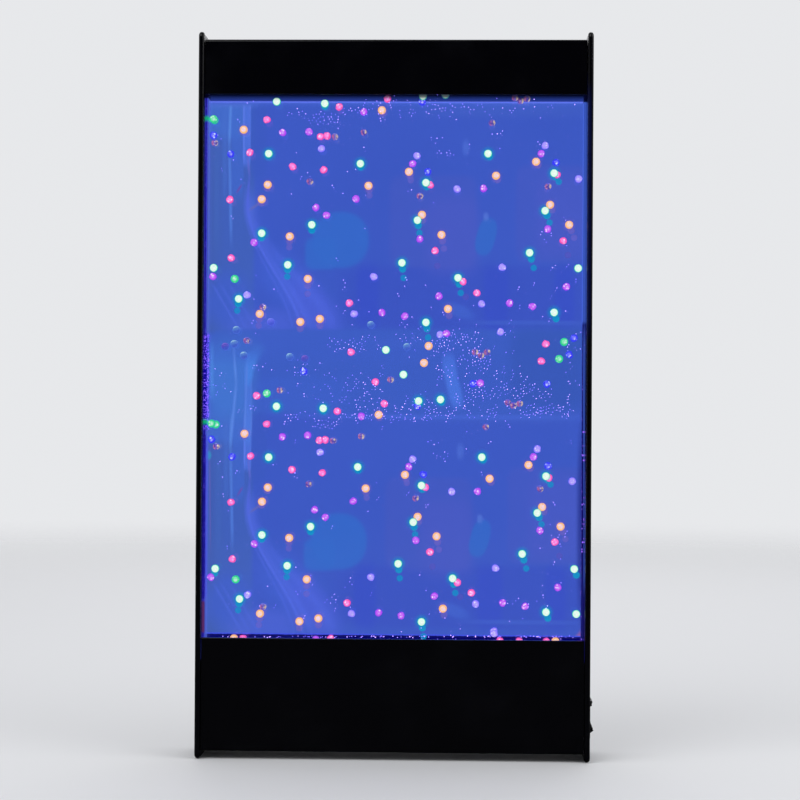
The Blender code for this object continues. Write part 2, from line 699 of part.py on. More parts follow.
def make_tank_side(name, material, side):
    """The narrow side of the tank, between its two sheets."""
    mesh = bmesh.new()
    sides = sorted((side * INSIDE_X, side * (INSIDE_X - TANK_SIDE)))
    extrude(mesh, rectangle(sides[0], LIQUID_FRONT_Y + TOUCH, sides[1], LIQUID_BACK_Y - TOUCH), "Z",
            FLOOR_LOW_Z, LID_TOP_Z)
    return finish(name, mesh, material)


def tank_bar(mesh, low_z, high_z, margin=0):
    """A bar across the inside of the tank."""
    half = INSIDE_X - TANK_SIDE - TOUCH - margin
    extrude(mesh, rectangle(-half, LIQUID_FRONT_Y + TOUCH, half, LIQUID_BACK_Y - TOUCH), "Z", low_z, high_z)


def make_floor_bar(material):
    """The tank's floor, bored for the pump's two fittings and the drain."""
    mesh = bmesh.new()
    tank_bar(mesh, FLOOR_LOW_Z, FLOOR_TOP_Z)
    bar = finish("tank_floor_bar", mesh, material)
    mesh = bmesh.new()
    for middle in (OUTLET_X, SUCTION_X, TAP_X):
        extrude(mesh, circle(middle, TANK_MIDDLE_Y, STEM_RADIUS + TOUCH), "Z",
                FLOOR_LOW_Z - CUT_OVERRUN, FLOOR_TOP_Z + CUT_OVERRUN)
    combine(bar, mesh, "DIFFERENCE")
    return bar


def make_lid_bar(material):
    """The tank's lid, with the filling hole."""
    mesh = bmesh.new()
    tank_bar(mesh, LID_LOW_Z, LID_TOP_Z)
    bar = finish("tank_lid_bar", mesh, material)
    mesh = bmesh.new()
    extrude(mesh, circle(FILL_X, TANK_MIDDLE_Y, FILL_HOLE_RADIUS), "Z",
            LID_LOW_Z - CUT_OVERRUN, LID_TOP_Z + CUT_OVERRUN)
    combine(bar, mesh, "DIFFERENCE")
    return bar


def make_bead_screen(material):
    """A slotted strip on the tank's floor that keeps the beads out of the pump."""
    mesh = bmesh.new()
    tank_bar(mesh, SCREEN_LOW_Z, SCREEN_TOP_Z)
    screen = finish("bead_screen", mesh, material)
    half_length = TANK_GAP / 2 - SCREEN_MARGIN - TOUCH
    count = int((2 * INSIDE_X - 2 * TANK_SIDE) / SCREEN_SLOT_PITCH) - 1
    mesh = bmesh.new()
    for index in range(count):
        middle = (index - (count - 1) / 2) * SCREEN_SLOT_PITCH
        outline = rectangle(middle - SCREEN_SLOT_WIDTH / 2, TANK_MIDDLE_Y - half_length,
                            middle + SCREEN_SLOT_WIDTH / 2, TANK_MIDDLE_Y + half_length)
        extrude(mesh, outline, "Z", SCREEN_LOW_Z - CUT_OVERRUN, SCREEN_TOP_Z + CUT_OVERRUN)
    combine(screen, mesh, "DIFFERENCE")
    return screen


def make_fill_plug(material):
    """The plug of the filling hole, its head scalloped for the fingers."""
    mesh = bmesh.new()
    seat = LID_TOP_Z + 2 * SEAL_RADIUS + 2 * TOUCH
    origin = (FILL_X, TANK_MIDDLE_Y, seat)
    stem_radius = FILL_HOLE_RADIUS - TOUCH
    profile = [(0, -PLUG_STEM), (stem_radius - TOUCH, -PLUG_STEM), (stem_radius, -PLUG_STEM + TOUCH),
               (stem_radius, 0), (PLUG_HEAD_RADIUS, 0), (PLUG_HEAD_RADIUS, PLUG_HEAD_HEIGHT - TOUCH),
               (PLUG_HEAD_RADIUS - TOUCH, PLUG_HEAD_HEIGHT), (0, PLUG_HEAD_HEIGHT)]
    revolve(mesh, profile, "Z", origin, FINE_STEPS)
    plug = finish("fill_plug", mesh, material, origin)
    mesh = bmesh.new()
    for index in range(PLUG_GRIP_COUNT):
        turn = 2 * math.pi * index / PLUG_GRIP_COUNT
        outline = circle(FILL_X + PLUG_HEAD_RADIUS * math.cos(turn),
                         TANK_MIDDLE_Y + PLUG_HEAD_RADIUS * math.sin(turn), PLUG_GRIP_RADIUS, 10)
        extrude(mesh, outline, "Z", seat + PLUG_HEAD_HEIGHT / 4, seat + PLUG_HEAD_HEIGHT + CUT_OVERRUN)
    combine(plug, mesh, "DIFFERENCE")
    return plug


def make_fill_seal(material):
    """The ring between the plug's head and the lid."""
    mesh = bmesh.new()
    radius = FILL_HOLE_RADIUS + SEAL_RADIUS
    middle = (FILL_X, TANK_MIDDLE_Y, LID_TOP_Z + TOUCH + SEAL_RADIUS)
    revolve(mesh, circle(radius, 0, SEAL_RADIUS, 8), "Z", middle)
    return finish("fill_seal", mesh, material)


def make_light_tray(material):
    """A white sheet bent forward at both sides, behind the luminous sheet."""
    mesh = bmesh.new()
    front = DIFFUSER_BACK_Y + TOUCH
    back = INSIDE_BACK_Y
    inner = INSIDE_X - TRAY_SHEET
    outline = [(-INSIDE_X, front), (-inner, front), (-inner, back - TRAY_SHEET), (inner, back - TRAY_SHEET),
               (inner, front), (INSIDE_X, front), (INSIDE_X, back), (-INSIDE_X, back)]
    extrude(mesh, outline, "Z", WINDOW_BOTTOM_Z, GLOW_TOP_Z)
    return finish("light_tray", mesh, material)


def make_channel(name, material, edge_z, outward):
    """A channel along the light box's edge, its legs reaching to the luminous sheet."""
    mesh = bmesh.new()
    low = edge_z + outward * TOUCH
    high = low + outward * CHANNEL_HEIGHT
    web = high - outward * CHANNEL_SHEET
    front = DIFFUSER_FRONT_Y
    back = INSIDE_BACK_Y
    outline = [(front, low), (front + CHANNEL_SHEET, low), (front + CHANNEL_SHEET, web),
               (back - CHANNEL_SHEET, web), (back - CHANNEL_SHEET, low), (back, low), (back, high),
               (front, high)]
    extrude(mesh, outline, "X", -INSIDE_X, INSIDE_X)
    return finish(name, mesh, material)


def make_light_strip(name, material, edge_z, outward):
    """A narrow board under the channel's web with a row of light chips."""
    web = edge_z + outward * (TOUCH + CHANNEL_HEIGHT - CHANNEL_SHEET)
    board_high = web - outward * TOUCH
    board_low = board_high - outward * STRIP_THICKNESS
    chip_low = board_low - outward * CHIP_HEIGHT
    middle_y = (DIFFUSER_BACK_Y + INSIDE_BACK_Y) / 2
    half = INSIDE_X - PLATE_THICKNESS
    mesh = bmesh.new()
    outline = rectangle(-half, middle_y - STRIP_WIDTH / 2, half, middle_y + STRIP_WIDTH / 2)
    extrude(mesh, outline, "Z", *sorted((board_low, board_high)))
    strip = finish(name, mesh, material)
    count = int(2 * half / CHIP_PITCH)
    mesh = bmesh.new()
    for index in range(count):
        middle = (index - (count - 1) / 2) * CHIP_PITCH
        outline = rectangle(middle - CHIP_LENGTH / 2, middle_y - CHIP_WIDTH / 2,
                            middle + CHIP_LENGTH / 2, middle_y + CHIP_WIDTH / 2)
        bite = board_low + outward * STRIP_THICKNESS / 2
        extrude(mesh, outline, "Z", *sorted((chip_low, bite)))
    combine(strip, mesh, "UNION")
    return strip


def bead_centres():
    """Centres of the beads on the tank's floor: single ones first, then those that lean on one of them."""
    reach = INSIDE_X - TANK_SIDE
    free = TANK_GAP - 2 * BEAD_RADIUS - 2 * TOUCH
    rest_z = SCREEN_TOP_Z + TOUCH + BEAD_RADIUS
    centres = []
    for place_share, depth_share in zip(BEAD_PLACE_SHARES, BEAD_DEPTH_SHARES):
        depth = LIQUID_FRONT_Y + TOUCH + BEAD_RADIUS + free * depth_share
        centres.append(Vector((place_share * reach, depth, rest_z)))
    for index, lean in BEAD_PARTNERS:
        turn = math.radians(lean)
        step = Vector((math.cos(turn), 0, math.sin(turn))) * (2 * BEAD_RADIUS + TOUCH)
        centres.append(centres[index] + step)
    return centres


def make_bead(name, material, centre):
    """One round bead."""
    mesh = bmesh.new()
    profile = arc(0, 0, BEAD_RADIUS, -90, 90, BEAD_RINGS)
    profile[0] = (0, -BEAD_RADIUS)
    profile[-1] = (0, BEAD_RADIUS)
    revolve(mesh, profile, "Z", centre, ROUND_STEPS // 2)
    return finish(name, mesh, material, centre, smooth=80)


def make_switch_housing(material):
    """The switch's housing: a flange outside the plate and a body with a well for the rocker."""
    mesh = bmesh.new()
    flange_low = OUTER_X + TOUCH
    outline = rounded_rectangle(SWITCH_Y - FLANGE_WIDTH / 2, SWITCH_Z - FLANGE_LENGTH / 2,
                                SWITCH_Y + FLANGE_WIDTH / 2, SWITCH_Z + FLANGE_LENGTH / 2, FLANGE_CORNER)
    extrude(mesh, outline, "X", flange_low, OUTER_X + FLANGE_THICKNESS)
    housing = finish("switch_housing", mesh, material)
    soften(housing, FLANGE_THICKNESS / 4, steps=2)
    mesh = bmesh.new()
    half_width = SWITCH_BODY_WIDTH / 2
    half_length = SWITCH_BODY_LENGTH / 2
    outline = rectangle(SWITCH_Y - half_width, SWITCH_Z - half_length,
                        SWITCH_Y + half_width, SWITCH_Z + half_length)
    extrude(mesh, outline, "X", SWITCH_INNER_X, OUTER_X + FLANGE_THICKNESS / 2)
    combine(housing, mesh, "UNION")
    mesh = bmesh.new()
    well_half = ROCKER_RADIUS + TOUCH
    side_half = ROCKER_WIDTH / 2 + TOUCH
    well_floor = OUTER_X - SWITCH_WELL_DEPTH
    outline = rectangle(SWITCH_Y - side_half, SWITCH_Z - well_half,
                        SWITCH_Y + side_half, SWITCH_Z + well_half)
    extrude(mesh, outline, "X", well_floor, OUTER_X + FLANGE_THICKNESS + CUT_OVERRUN)
    combine(housing, mesh, "DIFFERENCE")
    mesh = bmesh.new()
    pin_reach = side_half + ROCKER_PIN_LENGTH
    extrude(mesh, circle(ROCKER_PIVOT_X, SWITCH_Z, ROCKER_PIN_RADIUS + TOUCH, 16), "Y",
            SWITCH_Y - pin_reach, SWITCH_Y + pin_reach)
    combine(housing, mesh, "DIFFERENCE")
    mesh = bmesh.new()
    for side in (-1, 1):
        middle = SWITCH_Z + side * BLADE_SPREAD
        outline = rectangle(SWITCH_Y - BLADE_WIDTH / 2 - TOUCH, middle - BLADE_THICKNESS / 2 - TOUCH,
                            SWITCH_Y + BLADE_WIDTH / 2 + TOUCH, middle + BLADE_THICKNESS / 2 + TOUCH)
        extrude(mesh, outline, "X", SWITCH_INNER_X - CUT_OVERRUN, SWITCH_INNER_X + BLADE_SEAT + TOUCH)
    combine(housing, mesh, "DIFFERENCE")
    return housing


def make_rocker(material):
    """The rocker, hollow across its face, with a round skirt and two pins on its pivot."""
    origin = (ROCKER_PIVOT_X, SWITCH_Y, SWITCH_Z)
    tip = math.degrees(math.asin(ROCKER_TIP_RISE / ROCKER_RADIUS))
    skirt = math.degrees(math.asin(ROCKER_SKIRT / ROCKER_RADIUS))
    half_chord = ROCKER_RADIUS * math.cos(math.radians(tip))
    sag = ROCKER_TIP_RISE - ROCKER_MIDDLE_RISE
    hollow_radius = (half_chord ** 2 + sag ** 2) / (2 * sag)
    half_angle = math.degrees(math.asin(half_chord / hollow_radius))
    hollow = arc(0, ROCKER_MIDDLE_RISE + hollow_radius, hollow_radius, 270 - half_angle, 270 + half_angle,
                 2 * CORNER_STEPS)
    right_end = arc(0, 0, ROCKER_RADIUS, tip, -skirt)[1:]
    left_end = arc(0, 0, ROCKER_RADIUS, 180 + skirt, 180 - tip)[:-1]
    # The outline is drawn upright about the pivot, then turned to the pressed position
    turn = math.radians(ROCKER_TILT)
    outline = []
    for along, rise in hollow + right_end + left_end:
        outward = rise * math.cos(turn) - along * math.sin(turn)
        upward = along * math.cos(turn) + rise * math.sin(turn)
        outline.append((ROCKER_PIVOT_X + outward, SWITCH_Z + upward))
    mesh = bmesh.new()
    extrude(mesh, outline, "Y", SWITCH_Y - ROCKER_WIDTH / 2, SWITCH_Y + ROCKER_WIDTH / 2)
    rocker = finish("switch_rocker", mesh, material, origin)
    mesh = bmesh.new()
    reach = ROCKER_WIDTH / 2 + ROCKER_PIN_LENGTH
    extrude(mesh, circle(ROCKER_PIVOT_X, SWITCH_Z, ROCKER_PIN_RADIUS, 16), "Y", SWITCH_Y - reach,
            SWITCH_Y + reach)
    combine(rocker, mesh, "UNION")
    return rocker


def make_terminal(name, material, side):
    """A flat blade at the back of the switch."""
    mesh = bmesh.new()
    middle = SWITCH_Z + side * BLADE_SPREAD
    inner = SWITCH_INNER_X - BLADE_LENGTH
    corner = BLADE_WIDTH / 4
    outline = [(SWITCH_INNER_X + BLADE_SEAT, SWITCH_Y - BLADE_WIDTH / 2),
               (SWITCH_INNER_X + BLADE_SEAT, SWITCH_Y + BLADE_WIDTH / 2),
               (inner + corner, SWITCH_Y + BLADE_WIDTH / 2), (inner, SWITCH_Y + corner),
               (inner, SWITCH_Y - corner), (inner + corner, SWITCH_Y - BLADE_WIDTH / 2)]
    extrude(mesh, outline, "Z", middle - BLADE_THICKNESS / 2, middle + BLADE_THICKNESS / 2)
    return finish(name, mesh, material)


def make_driver_board(material):
    """The circuit board that feeds the lights and the pump."""
    mesh = bmesh.new()
    outline = rectangle(BOARD_LEFT, BOARD_LOW_Z, BOARD_RIGHT, BOARD_TOP_Z)
    extrude(mesh, outline, "Y", BOARD_FRONT_Y, BOARD_BACK_Y)
    return finish("driver_board", mesh, material)


def make_heat_sink(material):
    """A finned block on the board's right."""
    mesh = bmesh.new()
    right = BOARD_RIGHT - PART_MARGIN
    left = right - SINK_WIDTH
    back = BOARD_FRONT_Y - TOUCH
    front = back - SINK_DEPTH
    base = back - SINK_BASE
    pitch = (SINK_WIDTH - SINK_FIN) / (SINK_FIN_COUNT - 1)
    outline = [(left, back)]
    for index in range(SINK_FIN_COUNT):
        fin = left + index * pitch
        outline += [(fin, base), (fin, front), (fin + SINK_FIN, front), (fin + SINK_FIN, base)]
    outline = outline[:1] + outline[2:-1] + [(right, back)]
    low = (BOARD_LOW_Z + BOARD_TOP_Z - SINK_HEIGHT) / 2
    extrude(mesh, outline, "Z", low, low + SINK_HEIGHT)
    return finish("driver_heat_sink", mesh, material)


def make_transformer(material):
    """A wound transformer: a waisted bobbin between two cheeks."""
    mesh = bmesh.new()
    left = BOARD_LEFT + PART_MARGIN
    right = left + COIL_WIDTH
    back = BOARD_FRONT_Y - TOUCH
    low = (BOARD_LOW_Z + BOARD_TOP_Z - COIL_HEIGHT) / 2
    high = low + COIL_HEIGHT
    outline = [(left, low), (right, low), (right, low + COIL_CHEEK), (right - COIL_WAIST, low + COIL_CHEEK),
               (right - COIL_WAIST, high - COIL_CHEEK), (right, high - COIL_CHEEK), (right, high),
               (left, high), (left, high - COIL_CHEEK), (left + COIL_WAIST, high - COIL_CHEEK),
               (left + COIL_WAIST, low + COIL_CHEEK), (left, low + COIL_CHEEK)]
    extrude(mesh, outline, "Y", back - COIL_DEPTH, back)
    return finish("driver_transformer", mesh, material)


def make_power_socket(material):
    """A round low-voltage socket in the cover's floor, with its pin."""
    mesh = bmesh.new()
    centre = (SOCKET_X, BOX_MIDDLE_Y, BOTTOM_Z)
    low = -SOCKET_FLANGE - TOUCH
    high = COVER_WALL + SOCKET_HEIGHT
    bore = low + SOCKET_BORE_DEPTH
    profile = [(0, low + SOCKET_FLANGE), (SOCKET_PIN_RADIUS, low + SOCKET_FLANGE), (SOCKET_PIN_RADIUS, bore),
               (SOCKET_BORE_RADIUS, bore), (SOCKET_BORE_RADIUS, low), (SOCKET_FLANGE_RADIUS, low),
               (SOCKET_FLANGE_RADIUS, -TOUCH), (SOCKET_RADIUS, -TOUCH), (SOCKET_RADIUS, high), (0, high)]
    revolve(mesh, profile, "Z", centre)
    return finish("power_socket", mesh, material)


def make_pump_body(material):
    """The motor's block, with a well for the rotor and a seat for the shaft."""
    mesh = bmesh.new()
    half = PUMP_BODY_HEIGHT / 2
    outline = rounded_rectangle(PUMP_FRONT_Y, PUMP_AXIS_Z - half, PUMP_BACK_Y, PUMP_AXIS_Z + half,
                                PUMP_CORNER)
    extrude(mesh, outline, "X", PUMP_LEFT_X, PUMP_RIGHT_X)
    body = finish("pump_body", mesh, material)
    mesh = bmesh.new()
    well_low = PUMP_RIGHT_X - WELL_DEPTH
    extrude(mesh, circle(PUMP_AXIS_Y, PUMP_AXIS_Z, WELL_RADIUS), "X", well_low, PUMP_RIGHT_X + CUT_OVERRUN)
    combine(body, mesh, "DIFFERENCE")
    mesh = bmesh.new()
    extrude(mesh, circle(PUMP_AXIS_Y, PUMP_AXIS_Z, SHAFT_RADIUS + TOUCH, 12), "X",
            well_low - SHAFT_SEAT - TOUCH, well_low + CUT_OVERRUN)
    combine(body, mesh, "DIFFERENCE")
    return body


def make_pump_shaft(material):
    """The fixed shaft that the rotor turns on."""
    mesh = bmesh.new()
    low = PUMP_RIGHT_X - WELL_DEPTH - SHAFT_SEAT
    extrude(mesh, circle(PUMP_AXIS_Y, PUMP_AXIS_Z, SHAFT_RADIUS, 12), "X", low, PUMP_RIGHT_X + SHAFT_NOSE)
    return finish("pump_shaft", mesh, material)


def make_impeller(material):
    """The magnet rotor, its disc and swept vanes, bored for the shaft."""
    origin = (PUMP_RIGHT_X, PUMP_AXIS_Y, PUMP_AXIS_Z)
    bore = SHAFT_RADIUS + TOUCH
    low = -WELL_DEPTH + ROTOR_CLEARANCE
    disc_low = TOUCH + ROTOR_CLEARANCE
    disc_high = disc_low + DISC_THICKNESS
    hub_high = disc_high + VANE_HEIGHT
    profile = [(bore, low), (ROTOR_RADIUS, low), (ROTOR_RADIUS, disc_low), (DISC_RADIUS, disc_low),
               (DISC_RADIUS, disc_high), (HUB_RADIUS, disc_high), (HUB_RADIUS, hub_high), (bore, hub_high)]
    mesh = bmesh.new()
    revolve(mesh, profile, "X", origin)
    impeller = finish("pump_impeller", mesh, material, origin)
    mesh = bmesh.new()
    inner = (bore + HUB_RADIUS) / 2
    for index in range(VANE_COUNT):
        turn = 360 * index / VANE_COUNT
        outline = vane_outline(turn, inner)
        extrude(mesh, outline, "X", PUMP_RIGHT_X + (disc_low + disc_high) / 2,
                PUMP_RIGHT_X + hub_high - TOUCH)
    combine(impeller, mesh, "UNION")
    return impeller


def vane_outline(turn, inner):
    """A vane that sweeps back as it runs out from the hub."""
    leading = []
    trailing = []
    for step in range(CORNER_STEPS + 1):
        share = step / CORNER_STEPS
        radius = inner + (DISC_RADIUS - TOUCH - inner) * share
        middle = math.radians(turn + VANE_SWEEP * share ** 2)
        half = VANE_THICKNESS / 2 / radius
        for points, sign in ((leading, 1), (trailing, -1)):
            angle = middle + sign * half
            points.append((PUMP_AXIS_Y + radius * math.cos(angle), PUMP_AXIS_Z + radius * math.sin(angle)))
    return leading + trailing[::-1]


def make_volute(material):
    """The pump's front: a cup with a suction spout on its axis and an outlet spout upwards."""
    mesh = bmesh.new()
    cup = circle(PUMP_AXIS_Y, PUMP_AXIS_Z, VOLUTE_RADIUS, FINE_STEPS)
    extrude(mesh, cup, "X", VOLUTE_LEFT_X, VOLUTE_RIGHT_X)
    volute = finish("pump_volute", mesh, material)
    mesh = bmesh.new()
    extrude(mesh, circle(PUMP_AXIS_Y, PUMP_AXIS_Z, SPOUT_RADIUS), "X", VOLUTE_RIGHT_X - VOLUTE_WALL / 2,
            VOLUTE_RIGHT_X + SUCTION_SPOUT)
    combine(volute, mesh, "UNION")
    mesh = bmesh.new()
    extrude(mesh, circle(OUTLET_X, TANK_MIDDLE_Y, SPOUT_RADIUS), "Z", PUMP_AXIS_Z, OUTLET_TOP_Z)
    combine(volute, mesh, "UNION")
    mesh = bmesh.new()
    extrude(mesh, circle(PUMP_AXIS_Y, PUMP_AXIS_Z, VOLUTE_RADIUS - VOLUTE_WALL, FINE_STEPS), "X",
            VOLUTE_LEFT_X - CUT_OVERRUN, VOLUTE_RIGHT_X - VOLUTE_WALL)
    combine(volute, mesh, "DIFFERENCE")
    mesh = bmesh.new()
    extrude(mesh, circle(PUMP_AXIS_Y, PUMP_AXIS_Z, SPOUT_BORE_RADIUS), "X",
            VOLUTE_RIGHT_X - VOLUTE_WALL - CUT_OVERRUN, VOLUTE_RIGHT_X + SUCTION_SPOUT + CUT_OVERRUN)
    combine(volute, mesh, "DIFFERENCE")
    mesh = bmesh.new()
    extrude(mesh, circle(OUTLET_X, TANK_MIDDLE_Y, SPOUT_BORE_RADIUS), "Z",
            PUMP_AXIS_Z + VOLUTE_RADIUS / 2, OUTLET_TOP_Z + CUT_OVERRUN)
    combine(volute, mesh, "DIFFERENCE")
    return volute


def make_fitting(name, material, middle):
    """A barbed fitting in the tank's floor, pointing down."""
    mesh = bmesh.new()
    flange_low = -FITTING_FLANGE
    low = flange_low - BARB_LENGTH
    neck = SPOUT_RADIUS - TOUCH
    bore = SPOUT_BORE_RADIUS - TOUCH
    profile = [(bore, low), (neck, low), (SPOUT_RADIUS, low + BARB_LENGTH / 4), (neck, low + BARB_LENGTH / 4),
               (SPOUT_RADIUS, low + BARB_LENGTH / 2), (neck, low + BARB_LENGTH / 2), (neck, flange_low),
               (FITTING_FLANGE_RADIUS, flange_low), (FITTING_FLANGE_RADIUS, 0), (STEM_RADIUS, 0),
               (STEM_RADIUS, STEM_LENGTH), (bore, STEM_LENGTH)]
    revolve(mesh, profile, "Z", (middle, TANK_MIDDLE_Y, FITTING_TOP_Z))
    return finish(name, mesh, material)


def make_jet_hose(material):
    """A short straight hose from the pump's outlet up to the tank."""
    mesh = bmesh.new()
    low = PUMP_AXIS_Z + VOLUTE_RADIUS + TOUCH
    high = FITTING_TOP_Z - FITTING_FLANGE - TOUCH
    points = [Vector((OUTLET_X, TANK_MIDDLE_Y, low)), Vector((OUTLET_X, TANK_MIDDLE_Y, high))]
    sweep_hose(mesh, points, HOSE_RADIUS, HOSE_BORE_RADIUS)
    return finish("jet_hose", mesh, material)


def make_suction_hose(material):
    """A hose that leaves the pump along its axis and bends up to the tank."""
    mesh = bmesh.new()
    spout_end = VOLUTE_RIGHT_X + SUCTION_SPOUT
    start = Vector((spout_end - HOSE_OVERLAP, PUMP_AXIS_Y, PUMP_AXIS_Z))
    bend_start = Vector((spout_end, PUMP_AXIS_Y, PUMP_AXIS_Z))
    bend_end = Vector((SUCTION_X, TANK_MIDDLE_Y, BARB_LOW_Z))
    end = Vector((SUCTION_X, TANK_MIDDLE_Y, FITTING_TOP_Z - FITTING_FLANGE - TOUCH))
    pull = (bend_end - bend_start).length * HOSE_PULL_SHARE
    points = [start] + smooth_path(bend_start, (pull, 0, 0), bend_end, (0, 0, pull), HOSE_STEPS) + [end]
    sweep_hose(mesh, points, HOSE_RADIUS, HOSE_BORE_RADIUS)
    return finish("suction_hose", mesh, material)


def key_origin():
    """The drain tap's cross axis meets its spout here."""
    return (TAP_X, TANK_MIDDLE_Y, FITTING_TOP_Z - TAP_HEIGHT / 2)


def make_tap_body(material):
    """A small tap: a stem in the tank's floor, a round body and a spout to the drain hole."""
    mesh = bmesh.new()
    spout_low = -TAP_HEIGHT - TAP_SPOUT
    bore = TAP_SPOUT_RADIUS / 2
    profile = [(bore, spout_low), (TAP_SPOUT_RADIUS, spout_low), (TAP_SPOUT_RADIUS, -TAP_HEIGHT),
               (TAP_RADIUS, -TAP_HEIGHT + CUT_OVERRUN), (TAP_RADIUS, -CUT_OVERRUN),
               (TAP_RADIUS - CUT_OVERRUN, 0), (STEM_RADIUS, 0), (STEM_RADIUS, STEM_LENGTH),
               (bore, STEM_LENGTH)]
    revolve(mesh, profile, "Z", (TAP_X, TANK_MIDDLE_Y, FITTING_TOP_Z))
    body = finish("drain_tap_body", mesh, material)
    mesh = bmesh.new()
    origin = key_origin()
    extrude(mesh, circle(origin[0], origin[2], KEY_RADIUS + TOUCH), "Y",
            origin[1] - TAP_RADIUS - CUT_OVERRUN, origin[1] + TAP_RADIUS + CUT_OVERRUN)
    combine(body, mesh, "DIFFERENCE")
    return body


def make_tap_key(material):
    """The tap's plug and its flat handle, level when the tap is shut."""
    origin = key_origin()
    front = origin[1] - TAP_RADIUS - KEY_GAP
    mesh = bmesh.new()
    outline = rounded_rectangle(origin[0] - KEY_HANDLE_LENGTH / 2, origin[2] - KEY_HANDLE_WIDTH / 2,
                                origin[0] + KEY_HANDLE_LENGTH / 2, origin[2] + KEY_HANDLE_WIDTH / 2,
                                KEY_HANDLE_WIDTH * KEY_END_SHARE)
    extrude(mesh, outline, "Y", front - KEY_HANDLE_THICKNESS, front)
    key = finish("drain_tap_key", mesh, material, origin)
    mesh = bmesh.new()
    extrude(mesh, circle(origin[0], origin[2], KEY_RADIUS), "Y", front - KEY_HANDLE_THICKNESS / 2,
            origin[1] + TAP_RADIUS - TOUCH)
    combine(key, mesh, "UNION")
    return key


def make_leads(material):
    """The insulated leads inside the bottom box."""
    blade_end = SWITCH_INNER_X - BLADE_LENGTH - TOUCH
    board_front = BOARD_FRONT_Y - TOUCH
    socket_top = BOTTOM_Z + COVER_WALL + SOCKET_HEIGHT + TOUCH
    make_lead("power_lead", material, (SOCKET_X, BOX_MIDDLE_Y, socket_top), (0, 0, LEAD_PULL),
              (blade_end, SWITCH_Y, SWITCH_Z - BLADE_SPREAD), (LEAD_PULL, 0, 0))
    switch_pad = (BOARD_RIGHT - LEAD_CLEARANCE / 2, board_front, BOARD_TOP_Z - LEAD_CLEARANCE)
    make_lead("switch_lead", material, (blade_end, SWITCH_Y, SWITCH_Z + BLADE_SPREAD), (-LEAD_PULL, 0, 0),
              switch_pad, (0, LEAD_PULL, 0))
    light_x = (BOARD_LEFT + BOARD_RIGHT) / 2
    light_pad = (light_x, board_front, BOARD_TOP_Z - LEAD_CLEARANCE)
    channel_low = WINDOW_BOTTOM_Z - TOUCH - CHANNEL_HEIGHT - TOUCH
    make_lead("light_lead", material, light_pad, (0, -LEAD_PULL, 0),
              (light_x, DIFFUSER_BACK_Y + LEAD_CLEARANCE, channel_low), (0, 0, LEAD_PULL))
    pump_top = (PUMP_RIGHT_X - PUMP_CORNER, PUMP_BACK_Y - PUMP_CORNER - LEAD_RADIUS,
                PUMP_AXIS_Z + PUMP_BODY_HEIGHT / 2 + TOUCH)
    pump_pad = (BOARD_LEFT + PEG_MARGIN, board_front, BOARD_TOP_Z - LEAD_CLEARANCE / 2)
    make_lead("pump_lead", material, pump_top, (0, 0, LEAD_PULL), pump_pad, (0, LEAD_PULL, 0))


def make_frame():
    """Side plates, covers, rear panel and what carries them."""
    gloss_black = make_material("gloss_black", (0.006, 0.006, 0.008), 0.18)
    satin_black = make_material("satin_black", (0.010, 0.010, 0.012), 0.45)
    steel = make_material("zinc_steel", (0.55, 0.56, 0.58), 0.35, metallic=1.0)
    aluminium = make_material("bar_aluminium", (0.60, 0.61, 0.62), 0.40, metallic=1.0)
    make_side_plate("left_side_plate", gloss_black, -1)
    cut_switch_window(make_side_plate("right_side_plate", gloss_black, 1))
    make_cover("top_cover", gloss_black, TOP_Z, WINDOW_TOP_Z)
    cut_cover_floor(make_cover("bottom_cover", gloss_black, BOTTOM_Z, WINDOW_BOTTOM_Z))
    make_rear_panel(satin_black)
    for side, word in ((-1, "left"), (1, "right")):
        make_hanger(f"hanger_{word}", steel, keyhole_places()[side > 0])
        make_top_rest(f"top_rest_{word}", aluminium, side)
        make_cover_bar(f"cover_bar_{word}", aluminium, side)
        make_cover_screw(f"cover_screw_{word}", steel, side)


def make_tank():
    """The sealed tank, its screen and its filling plug."""
    clear = make_material("clear_sheet", (0.95, 0.97, 1.0), 0.02, transmission=1.0)
    grey = make_material("grey_plastic", (0.08, 0.08, 0.09), 0.40)
    rubber = make_material("seal_rubber", (0.02, 0.02, 0.02), 0.80)
    make_sheet("tank_front_sheet", clear, SHEET_FRONT_Y, LIQUID_FRONT_Y, FLOOR_LOW_Z, LID_TOP_Z)
    make_sheet("tank_back_sheet", clear, LIQUID_BACK_Y, TANK_BACK_Y, FLOOR_LOW_Z, LID_TOP_Z)
    make_tank_side("tank_left_wall", clear, -1)
    make_tank_side("tank_right_wall", clear, 1)
    make_floor_bar(grey)
    make_lid_bar(grey)
    make_bead_screen(grey)
    make_fill_plug(grey)
    make_fill_seal(rubber)


def make_light_box():
    """The luminous sheet and what lights it."""
    opal = make_material("opal_sheet", (0.75, 0.80, 0.95), 0.25)
    white = make_material("white_tray", (0.85, 0.85, 0.87), 0.50)
    black_metal = make_material("black_channel", (0.02, 0.02, 0.025), 0.40, metallic=0.6)
    strip_white = make_material("strip_white", (0.80, 0.80, 0.82), 0.45)
    make_sheet("diffuser_panel", opal, DIFFUSER_FRONT_Y, DIFFUSER_BACK_Y, WINDOW_BOTTOM_Z, GLOW_TOP_Z)
    make_light_tray(white)
    for word, edge_z, outward in (("top", GLOW_TOP_Z, 1), ("bottom", WINDOW_BOTTOM_Z, -1)):
        make_channel(f"light_channel_{word}", black_metal, edge_z, outward)
        make_light_strip(f"light_strip_{word}", strip_white, edge_z, outward)


